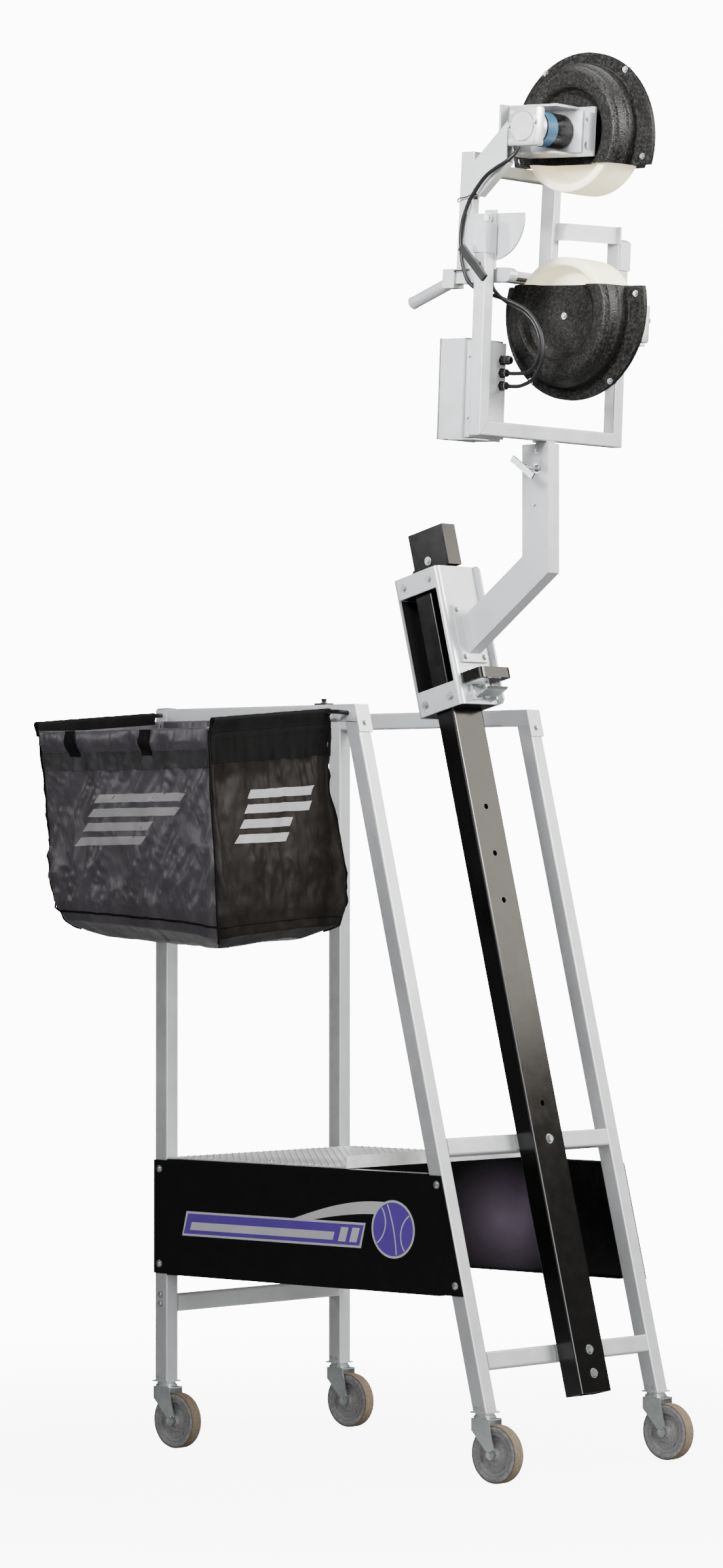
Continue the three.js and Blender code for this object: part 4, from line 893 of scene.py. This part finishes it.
def bag_droop(x, y, z):
    """The load settles towards the outer front corner, so the bag's floor hangs lowest there."""
    low = min(1, max(0, (1350 - z) / 145))
    outwards = min(1, max(0, (40 - y) / 440))
    return low * outwards * (17 - 0.082 * (x - 60))


def bag_section(depth):
    """Plan box of the bag a given number of millimetres below its rim, between the listed levels."""
    z = RIM - depth
    for high, low in zip(BAG_LEVELS, BAG_LEVELS[1:]):
        if z >= low[0]:
            t = (high[0] - z) / (high[0] - low[0])
            return [a + (b - a) * t for a, b in zip(high, low)]
    return list(BAG_LEVELS[-1])


def bag_point(depth, u):
    """A point on the unworn bag: u counts the sides round from the front, 0 to 4, corner to corner."""
    z, x0, x1, y0, y1, r = bag_section(depth)
    side, f = int(u) % 4, u % 1.0
    out = Vector([(1, 0), (0, 1), (-1, 0), (0, -1)][side])
    along = Vector([(0, 1), (-1, 0), (0, -1), (1, 0)][side])
    reach = {FRONT: x1, BACK_SIDE: y1, REAR: -x0, OUTER: -y0}[side]
    ends = {FRONT: (y0, y1), BACK_SIDE: (-x1, -x0), REAR: (-y1, -y0), OUTER: (x0, x1)}[side]
    if f < ARC or f > 1 - ARC:
        turn = (f / ARC - 1 if f < ARC else (f - 1 + ARC) / ARC) * math.pi / 4
        centre = ends[0] + r if f < ARC else ends[1] - r
        flat = along * (centre + r * math.sin(turn)) + out * (reach - r + r * math.cos(turn))
    else:
        flat = along * (ends[0] + r + (ends[1] - ends[0] - 2 * r) * (f - ARC) / (1 - 2 * ARC)) + out * reach
    fade = max(0, (z - 1250) / (RIM - 1250))
    return Vector((flat.x, flat.y, z + BAG_SAG * flat.y * fade + bag_droop(flat.x, flat.y, z)))


def bag_depths():
    """Depth of each row of the cloth, closer together where the sides turn in under the bag."""
    rows = [0.0]
    for high, low in zip(BAG_LEVELS, BAG_LEVELS[1:]):
        run = math.hypot(high[0] - low[0], high[4] - low[4], high[1] - low[1])
        count = max(1, round(run / CELL))
        rows += [RIM - high[0] + (high[0] - low[0]) * (k + 1) / count for k in range(count)]
    return rows


COLUMNS = 248
DEPTHS = bag_depths()
FLOOR_ROWS = 14


def bag_grid():
    """Rows of cloth points from the rim to the middle of the floor, each pushed by soft folds."""
    grid = [[bag_point(depth, 4 * i / COLUMNS) for i in range(COLUMNS)] for depth in DEPTHS]
    centre = sum(grid[-1], Vector()) / COLUMNS
    for k in range(1, FLOOR_ROWS):
        f = k / FLOOR_ROWS
        dip = Vector((0, 0, -3 * math.sin(f * math.pi)))
        grid.append([p.lerp(centre, f) + dip for p in grid[len(DEPTHS) - 1]])
    for j, row in enumerate(grid):
        loose = min(1, max(0, (j - 2) / 5))
        for i, p in enumerate(row):
            fold = noise.noise(Vector((p.x * 0.018, p.y * 0.018, p.z * 0.006 + 7)))
            crease = noise.noise(Vector((p.x * 0.05 + p.z * 0.02, p.y * 0.05, p.z * 0.03)))
            out = Vector((p.x - centre.x, p.y - centre.y, 0)).normalized()
            row[i] = p + out * loose * (fold * 5 + crease * 2 - 3)
    return grid, centre


def settle(mesh_object, pinned, frames=22):
    """Runs the cloth once and returns where its points settled."""
    group = mesh_object.vertex_groups.new(name="held")
    for weight, indices in pinned:
        group.add(indices, weight, "REPLACE")
    modifier = mesh_object.modifiers.new("cloth", "CLOTH")
    for key, value in CLOTH.items():
        setattr(modifier.settings, key, value)
    modifier.collision_settings.use_collision = False
    modifier.collision_settings.use_self_collision = False
    modifier.point_cache.frame_start = 1
    modifier.point_cache.frame_end = frames
    scene = bpy.context.scene
    for step in range(1, frames + 1):
        scene.frame_set(step)
    worn = mesh_object.evaluated_get(bpy.context.evaluated_depsgraph_get())
    result = [v.co.copy() for v in worn.data.vertices]
    mesh_object.modifiers.remove(modifier)
    scene.frame_set(1)
    return result


class Bag:
    """The settled cloth, read as a smooth surface by depth row and side."""

    def __init__(self):
        grid, centre = bag_grid()
        self.rows = len(grid)
        points = [p for row in grid for p in row] + [centre]
        faces = []
        for j in range(self.rows - 1):
            for i in range(COLUMNS):
                n = (i + 1) % COLUMNS
                faces.append((j * COLUMNS + i, (j + 1) * COLUMNS + i, (j + 1) * COLUMNS + n, j * COLUMNS + n))
        last = (self.rows - 1) * COLUMNS
        faces += [(last + i, len(points) - 1, last + (i + 1) % COLUMNS) for i in range(COLUMNS)]
        self.faces = faces
        start = [CART @ p for p in points]
        mesh = bpy.data.meshes.new("cloth")
        mesh.from_pydata(start, [], faces)
        obj = add_object("cloth", mesh)
        quarter = COLUMNS // 4
        rods = [j * COLUMNS + i for j in range(4) for i in range(COLUMNS)
                if (i // quarter) in (FRONT, REAR)]
        rims = [i for i in range(COLUMNS) if (i // quarter) in (BACK_SIDE, OUTER)]
        worn = settle(obj, [(1.0, rods), (0.9, rims)])
        bpy.data.objects.remove(obj)
        bpy.data.meshes.remove(mesh)
        for k, (a, b) in enumerate(zip(start, worn)):
            move = b - a
            start[k] = a + move * min(1, CLOTH_CAP / max(move.length, 1e-9))
        back = CART.inverted()
        self.points = [back @ p for p in start]
        self.points = [self.off(k // COLUMNS, 4 * (k % COLUMNS) / COLUMNS, self.wrinkle(k))
                       for k in range(self.rows * COLUMNS)] + [self.points[-1]]

    def wrinkle(self, k):
        """Height of the sharp slanting creases, and of the puffed fold above the webbing band."""
        p = self.points[k]
        u = 4 * (k % COLUMNS) / COLUMNS
        side, across = int(u), u % 1.0
        row = k // COLUMNS
        depth = DEPTHS[row] if row < len(DEPTHS) else DEPTHS[-1]
        along = p.x if side in (OUTER, BACK_SIDE) else p.y
        warp = 26 * noise.noise(Vector((along * 0.006, p.z * 0.006, side + 3)))
        lean = 0.42 if side == OUTER else -0.25
        height = 0.0
        for scale, sharpness, amount in CREASES:
            n = noise.noise(Vector(((along - lean * p.z + warp) * scale,
                                    (p.z + lean * along) * scale * 0.16, side * 5.3)))
            height += amount * ((1 - abs(n)) ** (sharpness * 3) - 0.35)
        strength = {OUTER: 1.0, FRONT: 0.5, REAR: 0.7, BACK_SIDE: 0.7}[side]
        height *= strength * min(1, max(0, (depth - 14) / 50))
        height *= 1 - 0.5 * math.exp(-((depth - 220) / 70) ** 2)     # smoother under the print
        height *= min(1, max(0.2, (462 - depth) / 40))
        if side == OUTER and depth < 50:
            n = noise.noise(Vector((along * 0.02, p.z * 0.03, 11)))
            height += math.sin(math.pi * depth / 50) * (8 + 9 * n) * min(1, 12 * across, 12 * (1 - across))
        return height

    def at(self, row, u):
        """Point on the cloth at a fractional row and side number."""
        row = min(max(row, 0), self.rows - 1.001)
        j, fj = int(row), row % 1.0
        column = (u / 4 * COLUMNS) % COLUMNS
        i, fi = int(column), column % 1.0
        n = (i + 1) % COLUMNS
        corner = lambda r, c: self.points[r * COLUMNS + c]
        top = corner(j, i).lerp(corner(j, n), fi)
        low = corner(j + 1, i).lerp(corner(j + 1, n), fi)
        return top.lerp(low, fj)

    def row(self, depth):
        """Fractional row at a depth below the rim."""
        for j, (a, b) in enumerate(zip(DEPTHS, DEPTHS[1:])):
            if depth <= b:
                return j + (depth - a) / (b - a)
        return len(DEPTHS) - 1

    def off(self, row, u, lift):
        """Point raised off the cloth along its outward normal."""
        p = self.at(row, u)
        du = self.at(row, u + 0.01) - self.at(row, u - 0.01)
        dr = self.at(row + 0.4, u) - self.at(row - 0.4, u)
        n = dr.cross(du)
        return p + n.normalized() * lift if n.length > 1e-9 else p

    def patch(self, bm, corners, lift, thick=0.8, across=60, down=6):
        """Cloth sewn on between four (side number, depth) corners, clockwise from the top left."""
        a, b, c, d = corners
        rings = []
        for layer in (lift + thick, lift):
            sheet = []
            for j in range(down + 1):
                for i in range(across + 1):
                    fi, fj = i / across, j / down
                    u = (a[0] + (b[0] - a[0]) * fi) * (1 - fj) + (d[0] + (c[0] - d[0]) * fi) * fj
                    depth = (a[1] + (b[1] - a[1]) * fi) * (1 - fj) + (d[1] + (c[1] - d[1]) * fi) * fj
                    sheet.append(bm.verts.new(self.off(self.row(depth), u, layer)))
            rings.append(sheet)
        outer, inner = rings
        span = across + 1
        for j in range(down):
            for i in range(across):
                k = j * span + i
                bm.faces.new((outer[k], outer[k + span], outer[k + span + 1], outer[k + 1]))
                bm.faces.new((inner[k], inner[k + 1], inner[k + span + 1], inner[k + span]))
        rim = [j * span for j in range(down + 1)] + [down * span + i for i in range(1, span)]
        rim += [j * span + across for j in range(down - 1, -1, -1)] + [i for i in range(across - 1, 0, -1)]
        for k, n in zip(rim, rim[1:] + rim[:1]):
            bm.faces.new((outer[k], inner[k], inner[n], outer[n]))

    def strip(self, bm, side, ends, depths, lift, thick, across=90, down=6):
        """A level patch between two places along a side and two depths."""
        (a, b), (top, low) = [side + e for e in ends], depths
        self.patch(bm, [(a, top), (b, top), (b, low), (a, low)], lift, thick, across, down)


def add_bag():
    bag = Bag()
    mesh = bpy.data.meshes.new("bag_shell")
    mesh.from_pydata([CART @ p for p in bag.points], [], bag.faces)
    for look in ("nylon", "nylon_painted_shade"):
        mesh.materials.append(M[look])
    quarter = COLUMNS // 4
    # the front side's faces take the darker copy of the nylon, which is painted shade
    for face in mesh.polygons[:(len(DEPTHS) - 1) * COLUMNS]:
        face.material_index = int((face.index % COLUMNS) // quarter == FRONT)
    shell = add_object("bag_shell", mesh)
    mesh.polygons.foreach_set("use_smooth", [True] * len(mesh.polygons))
    smooth = shell.modifiers.new("smooth", "SUBSURF")
    smooth.levels = smooth.render_levels = 1
    thick = shell.modifiers.new("cloth_thickness", "SOLIDIFY")
    thick.thickness = 0.0012
    thick.offset = -1
    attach(shell, "cart")
    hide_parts("ball_bag")

    bm = bmesh.new()
    # the outer band wears the lighter copy of the webbing, which is painted light
    bag.strip(bm, OUTER, WHOLE_SIDE, WEBBING, 0.6, 1.2)
    piece("bag_outer_band", bm, CART, "cart", "band", 50)

    bm = bmesh.new()
    for side in (FRONT, REAR):
        bag.strip(bm, side, WHOLE_SIDE, HEM, 0.4, 1.2)
    piece("bag_bands", bm, CART, "cart", "webbing", 50)

    bm = bmesh.new()
    bag.strip(bm, FRONT, WHOLE_SIDE, HEM_CORD, 1.8, 0.5, down=2)
    for u in LOOP_PLACES:
        bag.strip(bm, OUTER, (u - LOOP_HALF, u + LOOP_HALF), (2, 60), 2.2, 1.6, 6, 16)
    piece("bag_loops", bm, CART, "cart", "webbing", 50)

    bm = bmesh.new()
    last = len(DEPTHS) - 1
    for u in (0, 1, 2, 3):
        tube(bm, [bag.off(r * 0.5, u, 0.8) for r in range(2, 2 * last - 16)], 2.4, 8)
    seam = bag.row(FLOOR_SEAM)
    for side in range(4):
        tube(bm, [bag.off(seam, side + k / 60, 0.6) for k in range(61)], 2.2, 8)
    piece("bag_piping", bm, CART, "cart", "webbing", 60)

    bm = bmesh.new()
    slant = 0.035
    for side in (OUTER, FRONT):
        for k, (start, end) in enumerate(PRINT_BARS):
            top, low = 150 + 34 * k, 170 + 34 * k
            bag.patch(bm, [(side + start + slant, top), (side + end + slant, top), (side + end, low),
                           (side + start, low)], 0.35, 0.25, 24, 3)
    piece("bag_prints", bm, CART, "cart", "print", 60)

    bm = bmesh.new()
    for x, way in ((573, 1), (22, -1)):
        rod_sleeve(bm, x, way)
    piece("bag_rod_sleeves", bm, CART, "cart", "webbing", 60)


def rod_sleeve(bm, x, way, steps=70):
    """Hem that wraps a carrying rod and runs down on to the bag's face."""
    rings = []
    for k in range(steps + 1):
        y = -400 + 372 * k / steps
        z = ROD_TOP + BAG_SAG * y
        face = 567.6 if way > 0 else 24.6
        loop = []
        for a in range(0, 216, 18):
            angle = math.radians(a - 8)
            puff = 7.4 + 0.9 * noise.noise(Vector((y * 0.06, a * 0.03, x)))
            loop.append((x + way * puff * math.cos(angle), z + puff * math.sin(angle)))
        low = z - 26
        loop += [(face - way * 3.2, low + 6), (face - way * 1.5, low), (face + way * 1.2, low),
                 (face + way * 2.6, low + 9)]
        rings.append([bm.verts.new((px, y, pz)) for px, pz in loop])
    for first, second in zip(rings, rings[1:]):
        skin(bm, first, second)
    bm.faces.new(rings[0])
    bm.faces.new(rings[-1][::-1])


# ------------------------------------------------------------ studio
AMBIENT, BACKDROP = 0.09, 12.0           # strength of the white surroundings, and of the white behind


LIGHTS = (                               # name, place, target, size, watts, colour, spread in degrees
    ("key", (5.0, 2.4, 4.6), (0.2, 0, 1.9), (2.2, 2.4), 800, (1, 0.995, 0.975)),
    ("front", (6.4, -1.6, 2.2), (0, 0, 1.3), (3.2, 3.6), 330, (1, 0.995, 0.975)),
    ("side", (1.8, -7.4, 3.4), (0, 0, 1.8), (4, 4), 105, (0.985, 0.99, 1)),
    ("head", (0.9, -3.4, 3.9), (0.35, 0.1, 3.05), (1.2, 1.2), 60, (1, 1, 1), 60),
    ("glint", (-4.6, -6.4, 3.5), (0, -0.3, 1.6), (1.6, 1.6), 17, (1, 1, 1), 70),
    ("top", (0.3, 0, 6.0), (0, 0, 0), (3, 3), 230),
    ("card", (4.2, 4.9, 3.75), (0, 0.2, 1.6), (2.6, 2.0), 85, (1, 0.93, 0.82)),
)


def add_area(name, at, target, size, power, colour=(1, 1, 1), spread=180):
    data = bpy.data.lights.new(name, "AREA")
    data.shape = "RECTANGLE"
    data.size, data.size_y = size
    data.energy = power
    data.color = colour
    data.spread = math.radians(spread)
    light = add_object(name, data)
    light.location = at
    light.rotation_euler = (Vector(target) - Vector(at)).to_track_quat("-Z", "Y").to_euler()


def add_studio():
    world = bpy.data.worlds.new("studio")
    bpy.context.scene.world = world
    world.use_nodes = True
    tree = world.node_tree
    background = tree.nodes["Background"]
    background.inputs["Color"].default_value = (1, 1, 1, 1)
    path = node(tree, "ShaderNodeLightPath")
    strength = node(tree, "ShaderNodeMix", data_type="FLOAT")
    strength.inputs[2].default_value = AMBIENT
    strength.inputs[3].default_value = BACKDROP
    tree.links.new(path.outputs["Is Camera Ray"], strength.inputs[0])
    tree.links.new(strength.outputs[0], background.inputs["Strength"])
    for light in LIGHTS:
        add_area(*light)

    bm = bmesh.new()
    bmesh.ops.create_circle(bm, cap_ends=True, segments=96, radius=9)
    mesh = bpy.data.meshes.new("floor")
    bm.to_mesh(mesh)
    bm.free()
    floor = add_object("floor", mesh)
    mesh.materials.append(floor_material())


def floor_material():
    """Pale floor that fades out to the backdrop."""
    material = new_material("pale_floor", (0.93, 0.93, 0.93), 0.75)
    tree = material.node_tree
    shader, out = tree.nodes["Principled BSDF"], tree.nodes["Material Output"]
    length = node(tree, "ShaderNodeVectorMath", operation="LENGTH")
    tree.links.new(coordinates(tree), length.inputs[0])
    fade = node(tree, "ShaderNodeMapRange", **{"From Min": 0.9, "From Max": 3.2, "To Min": 0.66})
    tree.links.new(length.outputs["Value"], fade.inputs["Value"])
    clear = node(tree, "ShaderNodeBsdfTransparent")
    mix = node(tree, "ShaderNodeMixShader")
    tree.links.new(fade.outputs["Result"], mix.inputs["Fac"])
    tree.links.new(shader.outputs["BSDF"], mix.inputs[1])
    tree.links.new(clear.outputs["BSDF"], mix.inputs[2])
    tree.links.new(mix.outputs["Shader"], out.inputs["Surface"])
    return material


add_camera()
add_cables()
dress_cad_nodes()
add_panel_prints()
add_cart_bolts()
add_leg_feet()
add_deck_ribs()
add_casters()
add_mast_bolts()
add_carriage_details()
add_yoke_details()
add_guards_and_wheels()
add_motors()
add_head_details()
add_bag()
add_studio()
